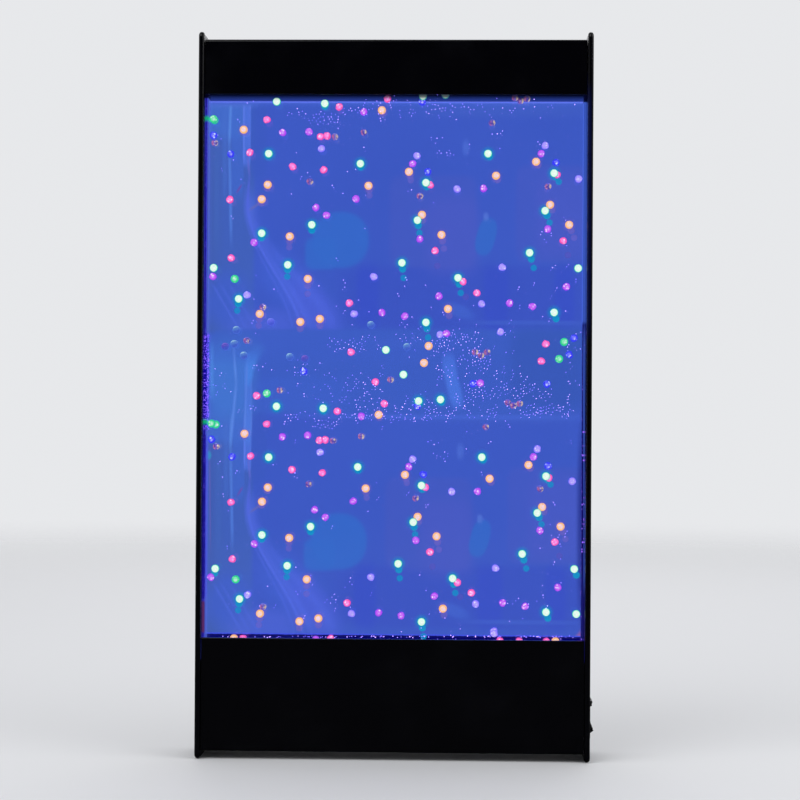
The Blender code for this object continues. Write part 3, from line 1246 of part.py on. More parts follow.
def make_beads():
    """Fluorescent beads lying on the screen at the tank's floor."""
    colours = {
        "orange": (1.0, 0.42, 0.18), "pink": (1.0, 0.25, 0.45), "green": (0.25, 1.0, 0.55),
        "purple": (0.62, 0.25, 0.95), "lavender": (0.70, 0.62, 1.0),
    }
    paints = {word: make_material(f"bead_{word}", colour, 0.15) for word, colour in colours.items()}
    order = ("orange", "purple", "pink", "pink", "pink", "pink", "pink", "lavender", "orange")
    for index, (word, centre) in enumerate(zip(order, bead_centres()), start=1):
        make_bead(f"bead_{index}", paints[word], centre)


def make_switch():
    """The rocker switch in the right side plate."""
    housing_black = make_material("switch_black", (0.015, 0.015, 0.016), 0.35)
    rocker_black = make_material("rocker_black", (0.012, 0.012, 0.013), 0.28)
    brass = make_material("blade_brass", (0.80, 0.58, 0.25), 0.30, metallic=1.0)
    make_switch_housing(housing_black)
    make_rocker(rocker_black)
    make_terminal("terminal_upper", brass, 1)
    make_terminal("terminal_lower", brass, -1)


def make_power():
    """The driver board with its larger parts, the power socket and the leads."""
    board_green = make_material("board_green", (0.03, 0.16, 0.07), 0.40)
    fin_aluminium = make_material("fin_aluminium", (0.50, 0.51, 0.52), 0.35, metallic=1.0)
    coil_yellow = make_material("coil_tape", (0.62, 0.45, 0.10), 0.50)
    socket_black = make_material("socket_black", (0.02, 0.02, 0.02), 0.40)
    lead_black = make_material("lead_sleeve", (0.02, 0.02, 0.02), 0.55)
    make_driver_board(board_green)
    make_heat_sink(fin_aluminium)
    make_transformer(coil_yellow)
    make_power_socket(socket_black)
    make_leads(lead_black)


def make_water_path():
    """Pump, fittings, hoses and drain tap."""
    pump_black = make_material("pump_black", (0.02, 0.02, 0.022), 0.45)
    shaft_white = make_material("shaft_ceramic", (0.85, 0.84, 0.80), 0.20)
    rotor_blue = make_material("rotor_blue", (0.05, 0.12, 0.30), 0.40)
    silicone = make_material("hose_silicone", (0.70, 0.72, 0.75), 0.35)
    fitting_black = make_material("fitting_black", (0.03, 0.03, 0.03), 0.45)
    key_red = make_material("key_red", (0.45, 0.03, 0.03), 0.40)
    make_pump_body(pump_black)
    make_pump_shaft(shaft_white)
    make_impeller(rotor_blue)
    make_volute(pump_black)
    make_fitting("jet_fitting", fitting_black, OUTLET_X)
    make_fitting("suction_fitting", fitting_black, SUCTION_X)
    make_jet_hose(silicone)
    make_suction_hose(silicone)
    make_tap_body(fitting_black)
    make_tap_key(key_red)


def main():
    """Build the whole panel."""
    clear_scene()
    make_frame()
    make_tank()
    make_light_box()
    make_beads()
    make_switch()
    make_power()
    make_water_path()


main()
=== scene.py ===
"""Looks of the luminous bead panel.

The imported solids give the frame. Here each solid gets its finish, and the pieces that only show are
modelled: the fluorescent beads that float in the tank, the bubbles, and finer skins for the black sheets,
the back and the switch.
"""

import math
import random

import bpy
from mathutils import Matrix, Vector


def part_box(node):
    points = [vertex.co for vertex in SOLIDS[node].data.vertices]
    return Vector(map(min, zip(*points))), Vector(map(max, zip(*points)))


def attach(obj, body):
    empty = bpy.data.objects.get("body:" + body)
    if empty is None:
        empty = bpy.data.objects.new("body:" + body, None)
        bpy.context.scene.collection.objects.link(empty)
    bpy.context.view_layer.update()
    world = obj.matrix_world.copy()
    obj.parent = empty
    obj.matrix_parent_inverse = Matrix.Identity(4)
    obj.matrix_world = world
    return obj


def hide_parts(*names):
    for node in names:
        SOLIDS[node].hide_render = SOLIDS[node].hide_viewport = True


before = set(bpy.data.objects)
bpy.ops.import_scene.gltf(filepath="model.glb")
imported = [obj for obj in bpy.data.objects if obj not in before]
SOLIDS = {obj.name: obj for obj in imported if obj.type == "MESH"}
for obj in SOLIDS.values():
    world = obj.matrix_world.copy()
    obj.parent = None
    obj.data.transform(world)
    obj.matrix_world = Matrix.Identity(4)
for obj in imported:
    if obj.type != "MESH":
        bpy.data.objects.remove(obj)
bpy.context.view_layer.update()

# Where the photograph was taken from. Its frame is 800 pixels square
EYE = Vector((0.0532, -1.5912, -0.0099))
EYE_TURNS = (-1.818, 0.26, 0.35)
FOCAL_PIXELS = 2208.0
FRAME_PIXELS = 800.0
SENSOR_MM = 36.0
NEAREST = 0.01
MIDDLE_COLUMN = FRAME_PIXELS / 2

# Planes of the tank, read from its solids
LIQUID_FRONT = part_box("tank_front_sheet")[1].y
LIQUID_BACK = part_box("tank_back_sheet")[0].y
GLOW_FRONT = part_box("diffuser_panel")[0].y
GLOW_LOW, GLOW_HIGH = (corner.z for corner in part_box("diffuser_panel"))
WALL_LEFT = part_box("tank_left_wall")[1].x
WALL_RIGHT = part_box("tank_right_wall")[0].x
PLATE_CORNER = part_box("right_side_plate")[0]
FLOOR_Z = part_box("left_side_plate")[0].z
BEAD_RADIUS = (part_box("bead_1")[1].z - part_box("bead_1")[0].z) / 2

# The clearance, and the limits for merging points and for flattening, breaking and shading edges
GAP = 0.0003
MERGE_REACH = 0.000002
FLAT_ANGLE = 0.4
SHARP_ANGLE = 40.0
SMOOTH_ANGLE = 34.0

# The photograph shows the tank twice, the second time lower and a little smaller
LOWER_FROM = (269.0, 154.2)
LOWER_TO = (269.0, 457.3)
LOWER_SCALE = (0.9715, 0.976)

# Rows, widths and strength of the light in the tank, and of the painted light and shade on its walls, beads
# and the right plate's edge
WALL_GLOW = 0.0012
WALL_GLOW_LOW = 0.0006
THIN_GLOW_ROWS = (435, 600)
CROWDED_ROWS = (335, 430)
WARM_GLOW_ROWS = (603, 634)
GREEN_REFLECTION_ROWS = (119, 423)
RIGHT_LIT_ROWS = (60, 322)
RIGHT_BUBBLE_ROWS = (330, 640)
RIGHT_SHADE_ROWS = (345, 640)
RIGHT_TOP = (585, 102.5)
PLATE_GLOW_ROWS = (96, 330)
TOP_SHADE = (101.5, 96.5)
SHEET_FOOT = 635.1
SHEET_GLOW = 1.16

# The painted bright line on the right wall, and how far from the wall's face it is at two of its rows
LINE_COLUMN = 584
LINE_ROWS = (330, 585)
LINE_SLANT = ((340, 0.0010), (560, 0.00185))

# Beads by colour, at the places where the photograph shows them, in its pixels
UPPER_BEADS = {
    "green": [(277, 102), (325, 104), (269, 154), (360.5, 164), (312, 225),
              (262, 233.5), (288, 265), (214, 268), (239, 299), (402, 263), (417.5, 220.5),
              (426, 183), (488, 154), (554, 173.5), (545, 211), (529.5, 253), (458, 278), (426, 322.5),
              (554, 312.6), (583, 268.5), (423, 96.5), (445.5, 95)],
    "mint": [(209, 119.5), (214.5, 120.5), (235, 279)],
    "orange": [(382, 110.6), (244, 130), (268, 185), (262, 199.5), (368.6, 186), (290, 236.6), (308, 279),
               (260, 314), (300.5, 322), (320, 319), (409, 172), (422, 215), (441.5, 235), (496, 176),
               (536, 162), (550, 205), (569, 225), (448, 309)],
    "pink": [(339.5, 107), (267, 120), (321, 137), (327, 136), (250, 153), (293, 167), (324, 170), (230, 200),
             (231.5, 258), (349.5, 303), (430, 185), (557, 175), (435, 251), (563, 241), (463, 282),
             (477, 293), (387.6, 99)],
    "purple": [(364, 112), (283, 133), (309, 132), (316, 208), (327, 215.5), (356, 199), (254, 242.5),
               (208, 276.6), (413, 164), (483.5, 189), (420, 239), (541, 154), (547.6, 229), (439, 296.5),
               (382, 313), (405, 316), (509.5, 303), (532.6, 306.6), (566, 287)],
    "lavender": [(321.6, 149), (417, 156), (457, 189), (545, 146), (581, 179), (247, 295), (374, 277),
                 (354, 314), (502, 267.5), (481.6, 304), (500.6, 332)],
    "blue": [(208, 136), (231, 154), (428, 172), (556, 163), (422, 102)],
    "clear": [(335, 137), (364, 132.5), (215, 143), (310, 181.5), (420, 196), (492, 123), (548, 186.5),
              (263, 307), (515, 98), (520.5, 101), (527, 99)],
}
MIDDLE_BEADS = {
    "green": [(386, 350), (403.5, 374.6), (581, 613.8)],
    "mint": [(267, 393.4), (564, 342), (559, 359)],
    "orange": [(424, 363), (428.7, 346)],
    "pink": [(351, 352), (375.6, 382), (257, 396), (545.5, 344), (541, 361)],
    "purple": [(446.7, 333.6), (480, 383)],
    "lavender": [(440, 334.5)],
    "blue": [(304, 371.5), (574, 338), (569, 354.7), (547, 384), (473, 384)],
    "clear": [(247, 340.5), (280, 390), (390.5, 379.5), (475, 352), (481, 355.5), (487, 352)],
    "faint": [(236.6, 330), (234.5, 344), (244, 355.5), (290, 357), (371, 325), (407, 347)],
    "dim": [(225.5, 346.6), (305, 359)],
    "misty": [(271, 322)],
}
CLEAR_SIZE = 0.82
FAR_SIZE = 0.94
BEAD_SEED = 7

# A bead's ball and its flat, and how a lumpy bead's points and its one side are pushed out, in bead radii
BALL_SEGMENTS = 10
BALL_RINGS = 6
FLAT_FROM = 0.95
FLAT_DEPTH = 0.06
LUMP_BALL = 0.90
LUMP_STEP = 0.10
LUMP_RISE = 0.05
LUMP_FROM = 0.35
LUMP_SEED = 4

# Where the painted pale middle of a bead's front begins, from 0 at its edge to 1 at its centre, and how soon
# it is full
MIDDLE_FROM = {"green": 0.46, "orange": 0.70, "purple": 0.62, "lavender": 0.60, "pink": 0.64}
OTHER_MIDDLE_FROM = 0.74
MIDDLE_REACH = 0.15
LUMPY_KINDS = ("pink", "purple", "lavender", "blue")
FLOOR_BEADS = {"orange": ("bead_1", "bead_9"), "purple": ("bead_2",), "lavender": ("bead_8",),
               "pink": ("bead_3", "bead_4", "bead_5", "bead_6", "bead_7")}

# Display colours of each kind of bead's painted glow: shaded edge, rim, middle, highlight flecks and glint
BEAD_COLOURS = {
    "green": ((0, 124, 150), (66, 228, 168), (231, 251, 238), (206, 238, 226), (244, 253, 249)),
    "mint": ((10, 112, 164), (48, 212, 134), (132, 230, 184), (214, 248, 230), (186, 236, 218)),
    "orange": ((158, 106, 168), (255, 188, 112), (248, 208, 198), (238, 204, 236), (238, 214, 232)),
    "pink": ((158, 66, 186), (255, 84, 164), (251, 132, 222), (255, 214, 252), (244, 178, 248)),
    "purple": ((98, 58, 214), (176, 68, 234), (198, 106, 246), (250, 224, 255), (212, 166, 254)),
    "lavender": ((88, 84, 238), (152, 130, 252), (174, 156, 253), (222, 214, 255), (190, 182, 250)),
    "blue": ((44, 54, 222), (54, 58, 244), (104, 110, 250), (206, 224, 255), (170, 172, 253)),
}

# Beads far back, glow painted: colours of their shaded lower side, of their body and of the light on their
# upper edge
FAR_BEADS = {
    "faint": ((66, 96, 200), (80, 122, 204), (150, 196, 218)),
    "dim": ((66, 88, 198), (84, 78, 190), (126, 98, 200)),
    "misty": ((72, 90, 212), (94, 104, 229), (118, 134, 236)),
}

# Painted reflections of the bright beads in the back sheet, and painted glows round them: colour, strength,
# radius in beads, share of a step.
# The step from a bead to its image grows outwards and downwards from one place, and is shorter at the left
PAINTED_REFLECTIONS = {
    "green": [("halo", (4, 138, 204), 0.74, 2.2, 0.0), ("near", (6, 158, 206), 0.80, 0.92, 0.42),
              ("far", (8, 146, 206), 0.74, 0.84, 1.0)],
    "orange": [("halo", (140, 96, 190), 0.25, 1.9, 0.0), ("near", (116, 102, 196), 0.50, 0.92, 0.45),
               ("far", (108, 102, 204), 0.55, 0.84, 1.0)],
    "pink": [("far", (96, 82, 186), 0.35, 0.84, 1.0)],
}
FAR_ECHOES = {
    "green": [(288, 265), (402, 263), (417.5, 220.5), (529.5, 253), (458, 278), (239, 299), (554, 173.5),
              (545, 211), (426, 322.5)],
    "orange": [(290, 236.6), (308, 279), (260, 314), (441.5, 235), (569, 225), (368.6, 186), (409, 172)],
    "pink": [(435, 251), (463, 282), (563, 241)],
}
ECHO_FROM = (320.0, 150.0)
ECHO_GROWTH = (0.020, 0.085)
ECHO_DROP = (6.5, 15.0)
ECHO_LEFT = (300.0, 0.78)
ECHO_SIDES = 20
ECHO_RIM = 0.3
ECHO_DEPTHS = (0.5, 0.2)

# Bubbles on the front sheet: middle, spread and number, in the photograph's pixels
UPPER_BUBBLES = [
    (326, 119, 13, 4, 60), (305, 113, 20, 5, 20), (349, 111, 8, 4, 10), (372, 112, 16, 4, 16),
    (400, 104, 40, 5, 26), (425, 112, 30, 4, 18), (446, 108, 10, 4, 12), (250, 101.5, 6, 2, 3),
    (500, 106, 80, 5, 26),
    (436, 139, 8, 4, 5), (445, 152, 9, 4, 8), (410, 190, 3, 2, 3), (432, 203, 2, 2, 2),
    (500, 130, 50, 30, 12), (560, 240, 20, 40, 10), (330, 190, 60, 60, 12), (300, 290, 50, 30, 10),
    (540, 303, 30, 22, 14), (440, 330, 40, 16, 12), (230, 170, 12, 60, 8), (390, 300, 60, 20, 12),
]
MIDDLE_BUBBLES = [
    (441, 345, 9, 6, 44), (455, 338, 14, 4, 30), (476, 337, 10, 4, 20), (345, 343, 18, 5, 44),
    (410, 336, 14, 4, 14), (470, 358, 14, 8, 34), (484, 366, 9, 6, 44), (443, 370, 6, 5, 18),
    (449, 377, 3, 4, 8), (472, 391, 8, 7, 44), (464, 398, 10, 5, 26), (490, 394, 12, 5, 28),
    (508, 374, 14, 4, 14), (506, 390, 6, 5, 18), (531, 388, 8, 4, 18), (520, 391, 8, 5, 12),
    (546, 396, 6, 4, 14), (538, 409, 10, 4, 30), (528, 412, 9, 3, 16), (560, 408, 14, 4, 14),
    (489, 412, 5, 3, 12), (365, 390, 22, 14, 44), (340, 396, 30, 10, 22), (420, 404, 18, 8, 20),
    (412, 418, 24, 2, 18), (320, 375, 34, 14, 20), (263, 367, 9, 3, 10), (222, 379, 10, 16, 12),
    (252, 409, 3, 1.5, 3), (300, 364, 8, 3, 6), (573, 360, 8, 30, 14), (470, 380, 60, 40, 40),
    (430, 342, 90, 14, 50), (520, 400, 50, 14, 40),
]
BUBBLE_SEED = 11
BUBBLE_RADIUS = 0.00030
BUBBLE_DEPTH = 0.8
BUBBLE_SPACING = 2.5
PAIR_SHARE = 0.45
FLOOR_BUBBLES = 90
FLOOR_BUBBLE_COLUMNS = (212, 578)
FLOOR_BUBBLE_ROWS = (635.8, 637.4)
WALL_BUBBLES = 170
WALL_BUBBLE_COLUMN = 204
WALL_BUBBLE_ROWS = (333, 431)

# The switch's paddle: how far each line across it stands from the pivot's height and from the plate's face.
# The lower end stands out and the upper end has a raised pad
PADDLE_LINES = [(-11.70, -1.0), (-11.35, 0.6), (-10.9, 1.3), (-9.55, 3.1), (-9.2, 3.25), (-8.2, 2.85),
                (-7.2, 2.4), (-6.2, 2.0), (-5.4, 1.68), (-4.6, 1.43), (-3.2, 1.2), (-1.6, 1.05), (0.0, 0.95),
                (1.6, 0.88), (3.2, 0.86), (4.6, 0.86), (6.0, 0.9), (7.65, 1.0), (7.9, 2.15), (9.6, 2.2),
                (11.45, 2.2), (11.70, -1.0)]
MM_IN_METRE = 1000
PADDLE_WIDTH = 0.0180
PADDLE_DEPTH = 0.0030
PADDLE_EDGE = 0.00012
RIB_LINES = (5, 7, 19)
RIB_RISE = 0.00026

# How far the sharp edges of the sheets and of the switch are broken
SHEET_EDGE = 0.0004
BEZEL_EDGE = 0.00018
SMALL_PART_ANGLE = 50.0

# The screws that hold the light tray, seen from behind
SCREW_ROWS = (-0.150, 0.020, 0.190)
SCREW_ASIDE = 0.118
SCREW_HEAD = 0.0031
SCREW_SINK = 0.00025
SCREW_LENGTH = 0.0026
SCREW_TURN = 0.4
SCREW_TAPER = 0.5
SCREW_SIDES = 32
CROSS_REACH = 0.0017
CROSS_WIDTH = 0.0006
CROSS_DEPTH = 0.0009

# Linear colours that several finishes share, the gloss of what glows, and the chips of the light strips
BLACK = (0, 0, 0, 1)
WHITE = (1, 1, 1, 1)
WALL_BASE = (0.004, 0.003, 0.025)
SHEET_BASE = (0.010, 0.016, 0.070)
DULL_GLOSS = {"Specular IOR Level": 0.1}
CHIP_PITCH = 0.0110
CHIP_GLOW = 1.5

# The floor and the light
FLOOR_REACH = 4.0
FLOOR_SIDES = 96
FLOOR_FADE = (1.0, 3.4)
FLOOR_IN_MIRROR = (0.03, 0.03, 0.036, 1.0)
PALE = (0.80, 0.81, 0.83)
SOFTBOXES = [
    ("key", (-0.95, -1.15, 1.55), 1.5, 12.4),
    ("fill", (1.35, -0.75, 1.15), 1.4, 7.3),
    ("back", (0.10, 1.60, 1.25), 1.6, 8.6),
]
ROOM_LIGHT = 0.62
SIDE_IN_MIRROR = 0.42
FRONT_IN_MIRROR = 0.008

# The layout of the node trees, and the socket that each kind of value takes
NODE_STEP = 220
COLUMN_NODES = 5
SHADER_PLACE = (1800, 0)
OUTPUT_PLACE = (2100, 0)
SOCKET_KINDS = {type(None): "NodeSocketVector", tuple: "NodeSocketColor", float: "NodeSocketFloat"}


# Places and colours


def view_axes():
    """The camera's right, up and forward directions."""
    yaw, pitch, roll = (math.radians(angle) for angle in EYE_TURNS)
    ahead = Vector((math.sin(yaw) * math.cos(pitch), math.cos(yaw) * math.cos(pitch), math.sin(pitch)))
    level = Vector((math.cos(yaw), -math.sin(yaw), 0))
    above = level.cross(ahead)
    right = level * math.cos(roll) + above * math.sin(roll)
    up = above * math.cos(roll) - level * math.sin(roll)
    return right, up, ahead


def at_pixel(pixel, depth):
    """The point at a depth of the panel that the photograph shows at a pixel."""
    right, up, ahead = view_axes()
    across, down = ((part - FRAME_PIXELS / 2) / FOCAL_PIXELS for part in pixel)
    ray = ahead + right * across - up * down
    return EYE + ray * ((depth - EYE.y) / ray.y)


def height_of(row, depth=LIQUID_FRONT, column=MIDDLE_COLUMN):
    """The height that the photograph shows at a row."""
    return at_pixel((column, row), depth).z


def as_shown(pixel):
    """A place of the upper half, as the photograph shows it."""
    return pixel


def lower(pixel):
    """Where the photograph repeats a place of its upper half."""
    return tuple(to + (place - start) * scale
                 for place, start, to, scale in zip(pixel, LOWER_FROM, LOWER_TO, LOWER_SCALE))


def middle_of(name):
    """The middle of a solid of the frame."""
    low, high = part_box(name)
    return (low + high) / 2


def display(red, green, blue, gain=1.0):
    """A colour as the screen shows it, from 0 to 255, as a light value."""
    linear = []
    for part in (red, green, blue):
        share = part / 255
        linear.append(gain * (share / 12.92 if share <= 0.04045 else ((share + 0.055) / 1.055) ** 2.4))
    return (*linear, 1.0)


# Shader nodes


def feed(node, inputs):
    """Give a node's inputs links or plain values."""
    for name, value in inputs.items():
        if isinstance(value, bpy.types.NodeSocket):
            node.id_data.links.new(value, node.inputs[name])
        else:
            node.inputs[name].default_value = value


def add(tree, kind, inputs=None, **settings):
    """Add a node, set it and feed its inputs."""
    made = tree.nodes.new(kind)
    column, row = divmod(len(tree.nodes), COLUMN_NODES)
    made.location = (NODE_STEP * column, -NODE_STEP * row)
    for name, value in settings.items():
        setattr(made, name, value)
    feed(made, inputs or {})
    return made


def calc(operation, *values):
    """One sum on values, in the tree of the first value that is a socket."""
    tree = next(value.id_data for value in values if isinstance(value, bpy.types.NodeSocket))
    return add(tree, "ShaderNodeMath", dict(enumerate(values)), operation=operation).outputs[0]


def plus(first, *others):
    """Values added up."""
    for other in others:
        first = calc("ADD", first, other)
    return first


def minus(first, second):
    """One value less another."""
    return calc("SUBTRACT", first, second)


def times(first, *others):
    """Values multiplied."""
    for other in others:
        first = calc("MULTIPLY", first, other)
    return first


def scaled(value, factor, start):
    """A value times a factor, on top of a start."""
    return calc("MULTIPLY_ADD", value, factor, start)


def size_of(value):
    """A value without its sign."""
    return calc("ABSOLUTE", value)


def distance(first, second):
    """The length of a step with two parts."""
    return calc("SQRT", plus(times(first, first), times(second, second)))


def blend(share, under, over):
    """One colour over another."""
    return add(share.id_data, "ShaderNodeMix", {0: share, 6: under, 7: over}, data_type="RGBA").outputs[2]


def ramp(value, low, high, to_low=0.0, to_high=1.0):
    """A smooth step of a value between two limits."""
    limits = {"Value": value, "From Min": low, "From Max": high, "To Min": to_low, "To Max": to_high}
    return add(value.id_data, "ShaderNodeMapRange", limits, interpolation_type="SMOOTHSTEP").outputs[0]


def split(vector):
    """The three parts of a vector."""
    return add(vector.id_data, "ShaderNodeSeparateXYZ", {0: vector}).outputs


def stretched(point, scale, turn=(0.0, 0.0, 0.0)):
    """A point with its axes scaled and turned, for grain that runs one way."""
    inputs = {"Vector": point, "Scale": scale, "Rotation": [math.radians(angle) for angle in turn]}
    return add(point.id_data, "ShaderNodeMapping", inputs).outputs[0]


def noise(point, scale, detail=2.0, roughness=0.5):
    """Soft noise from 0 to 1."""
    inputs = {"Vector": point, "Scale": scale, "Detail": detail, "Roughness": roughness}
    return add(point.id_data, "ShaderNodeTexNoise", inputs).outputs[0]


def uneven(point, scale, reach):
    """A small step to and fro, for a ragged edge."""
    return times(minus(noise(point, scale), 0.5), reach)


def cells(point, scale, **settings):
    """Small cells. Returns the distance to their middles and their chance colour."""
    made = add(point.id_data, "ShaderNodeTexVoronoi", {"Vector": point, "Scale": scale}, **settings)
    return made.outputs["Distance"], made.outputs["Color"]


def height_band(z, rows, soft=0.003):
    """A mask for what lies between two rows of the photograph."""
    high, low = (height_of(row) for row in rows)
    return times(ramp(z, low - soft, low + soft), ramp(z, high + soft, high - soft))


def new_group(name, inputs, outputs):
    """An empty node group. The kind of a socket follows from its value. Returns tree, inputs and result."""
    tree = bpy.data.node_groups.new(name, "ShaderNodeTree")
    for title, value in inputs.items():
        socket = tree.interface.new_socket(title, in_out="INPUT", socket_type=SOCKET_KINDS[type(value)])
        if value is not None:
            socket.default_value = value
    for title, value in outputs.items():
        tree.interface.new_socket(title, in_out="OUTPUT", socket_type=SOCKET_KINDS[type(value)])
    return tree, add(tree, "NodeGroupInput").outputs, add(tree, "NodeGroupOutput")


def use(tree, name, inputs):
    """Place a node group in a tree. Returns its outputs."""
    return add(tree, "ShaderNodeGroup", inputs, node_tree=GROUPS[name]).outputs


def group_soft_patch():
    """A soft-edged patch on the panel's face: round at power 2, boxy above."""
    tree, given, result = new_group("soft_patch", {
        "Point": None, "Middle X": 0.0, "Middle Z": 0.0, "Half Width": 0.01, "Half Height": 0.01, "Turn": 0.0,
        "Power": 2.5, "Softness": 0.2}, {"Mask": 0.0})
    x, _, z = split(given["Point"])
    x = minus(x, given["Middle X"])
    z = minus(z, given["Middle Z"])
    cosine = calc("COSINE", given["Turn"])
    sine = calc("SINE", given["Turn"])
    along = scaled(x, cosine, times(z, sine))
    across = minus(times(z, cosine), times(x, sine))
    parts = [calc("POWER", calc("DIVIDE", size_of(way), half), given["Power"])
             for way, half in ((along, given["Half Width"]), (across, given["Half Height"]))]
    reach = calc("POWER", plus(*parts), calc("DIVIDE", 1.0, given["Power"]))
    feed(result, {"Mask": ramp(reach, plus(1.0, given["Softness"]), minus(1.0, given["Softness"]))})
    return tree


def group_light_streak():
    """A thin bright line that runs down the face and may swing aside."""
    tree, given, result = new_group("light_streak", {
        "Point": None, "Start X": 0.0, "Start Z": 0.0, "Length": 0.1, "Swing": 0.0, "Swing From": 0.2,
        "Lean": 0.0, "Width": 0.002, "Fade": 0.15}, {"Mask": 0.0})
    x, _, z = split(given["Point"])
    run = calc("DIVIDE", minus(given["Start Z"], z), given["Length"])
    swing = times(given["Swing"], ramp(run, given["Swing From"], 1.0))
    middle = plus(swing, times(given["Lean"], run), given["Start X"])
    off = calc("DIVIDE", size_of(minus(x, middle)), given["Width"])
    ends = times(ramp(run, 0.0, given["Fade"]), ramp(run, 1.0, minus(1.0, given["Fade"])))
    feed(result, {"Mask": times(ramp(off, 1.0, 0.0), ends)})
    return tree


def group_bead_shade():
    """A fluorescent bead's painted glow: a dark edge of painted shade, a bright rim, a paler middle painted
    on the side that faces the front, small highlight flecks and a painted glint.
    """
    tree, given, result = new_group("bead_shade", {
        "Edge": BLACK, "Rim": BLACK, "Middle": BLACK, "Fleck": WHITE, "Glint": WHITE, "Middle From": 0.6,
        "Middle To": 0.95, "Fleck Share": 0.2, "Fleck Scale": 520.0}, {"Colour": BLACK})
    spots = add(tree, "ShaderNodeTexCoord").outputs
    across, ahead, up = split(spots["Normal"])
    front = times(ahead, -1.0)
    # Painted light: the middle is paler where the bead faces the front
    colour = blend(ramp(front, given["Middle From"], given["Middle To"]), given["Rim"], given["Middle"])
    near, _ = cells(spots["Object"], given["Fleck Scale"])
    fleck_highlight = times(ramp(near, 0.40, 0.20), ramp(front, 0.35, 0.8), given["Fleck Share"])
    colour = blend(fleck_highlight, colour, given["Fleck"])
    # A painted glint on one fixed side, and painted shade at the edge
    lean = scaled(across, 0.16, scaled(up, -0.14, times(front, 0.977)))
    colour = blend(ramp(lean, 0.955, 0.985), colour, given["Glint"])
    feed(result, {"Colour": blend(ramp(front, 0.42, 0.18), colour, given["Edge"])})
    return tree


def group_fine_scratches():
    """Hairline rubbing marks in two directions, with a height for bump and a mask for gloss."""
    tree, given, result = new_group(
        "fine_scratches", {"Point": None, "Scale": 60.0, "Amount": 0.4}, {"Mask": 0.0, "Height": 0.0})
    marks = []
    for turn, stretch in ((12.0, 26.0), (-64.0, 30.0)):
        point = stretched(given["Point"], (1.0, 1.0, stretch), (0.0, turn, 0.0))
        marks.append(ramp(noise(point, given["Scale"], 3.0, 0.6), 0.60, 0.78))
    patchy = ramp(noise(given["Point"], 14.0), 0.42, 0.66)
    mask = times(calc("MAXIMUM", *marks), patchy, given["Amount"])
    feed(result, {"Mask": mask, "Height": times(mask, -1.0)})
    return tree


def group_dust_and_glint_specks():
    """Sparse specks of dust, and a soft film of it. On the lit sheet the specks are painted glints."""
    tree, given, result = new_group(
        "dust_and_glint_specks", {"Point": None, "Scale": 260.0, "Share": 0.3}, {"Specks": 0.0, "Film": 0.0})
    near, chance = cells(given["Point"], given["Scale"])
    kept = calc("LESS_THAN", split(chance)[0], given["Share"])
    feed(result, {"Specks": times(ramp(near, 0.16, 0.05), kept),
                  "Film": ramp(noise(given["Point"], 22.0, 4.0, 0.6), 0.45, 0.75)})
    return tree


def group_moulded_grain():
    """The fine pebbled grain of a moulded part."""
    tree, given, result = new_group(
        "moulded_grain", {"Point": None, "Scale": 900.0}, {"Height": 0.0, "Mottle": 0.0})
    near, _ = cells(given["Point"], given["Scale"], feature="SMOOTH_F1")
    feed(result, {"Height": near, "Mottle": noise(given["Point"], 40.0, 4.0, 0.55)})
    return tree


def group_drawn_metal():
    """Lines left by drawing or brushing, along one axis."""
    tree, given, result = new_group(
        "drawn_metal", {"Point": None, "Scale": 400.0}, {"Lines": 0.0, "Stain": 0.0})
    feed(result, {"Lines": noise(given["Point"], given["Scale"], 4.0, 0.7),
                  "Stain": noise(given["Point"], 35.0, 3.0)})
    return tree


GROUPS = {
    "patch": group_soft_patch(), "streak": group_light_streak(), "bead": group_bead_shade(),
    "scratches": group_fine_scratches(), "dust": group_dust_and_glint_specks(), "grain": group_moulded_grain(),
    "drawn": group_drawn_metal(),
}


# Finishes


def finish(name, colour, roughness, metallic=0.0):
    """A new material. Returns the material, its shader and the piece's coordinates."""
    material = bpy.data.materials.new(name)
    material.use_nodes = True
    tree = material.node_tree
    shader = tree.nodes["Principled BSDF"]
    shader.location = SHADER_PLACE
    tree.nodes["Material Output"].location = OUTPUT_PLACE
    feed(shader, {"Base Color": (*colour[:3], 1.0), "Roughness": roughness, "Metallic": metallic})
    return material, shader, add(tree, "ShaderNodeTexCoord").outputs


def bump(shader, height, depth, strength=1.0):
    """Raise a surface by a height."""
    inputs = {"Height": height, "Distance": depth, "Strength": strength}
    feed(shader, {"Normal": add(shader.id_data, "ShaderNodeBump", inputs).outputs[0]})


def light_up(shader, colour, strength=1.0):
    """Let a finish glow."""
    feed(shader, {"Emission Color": colour, "Emission Strength": strength})


def small_glow(material, shader, colour):
    """Let a finish glow that is too small to be sampled as a lamp. Returns the material."""
    light_up(shader, colour)
    material.cycles.emission_sampling = "NONE"
    return material


def wear(point):
    """The rubbing marks and the dust on polished sheets."""
    return (use(point.id_data, "scratches", {"Point": point, "Scale": 55.0, "Amount": 0.5}),
            use(point.id_data, "dust", {"Point": point, "Scale": 330.0, "Share": 0.10}))


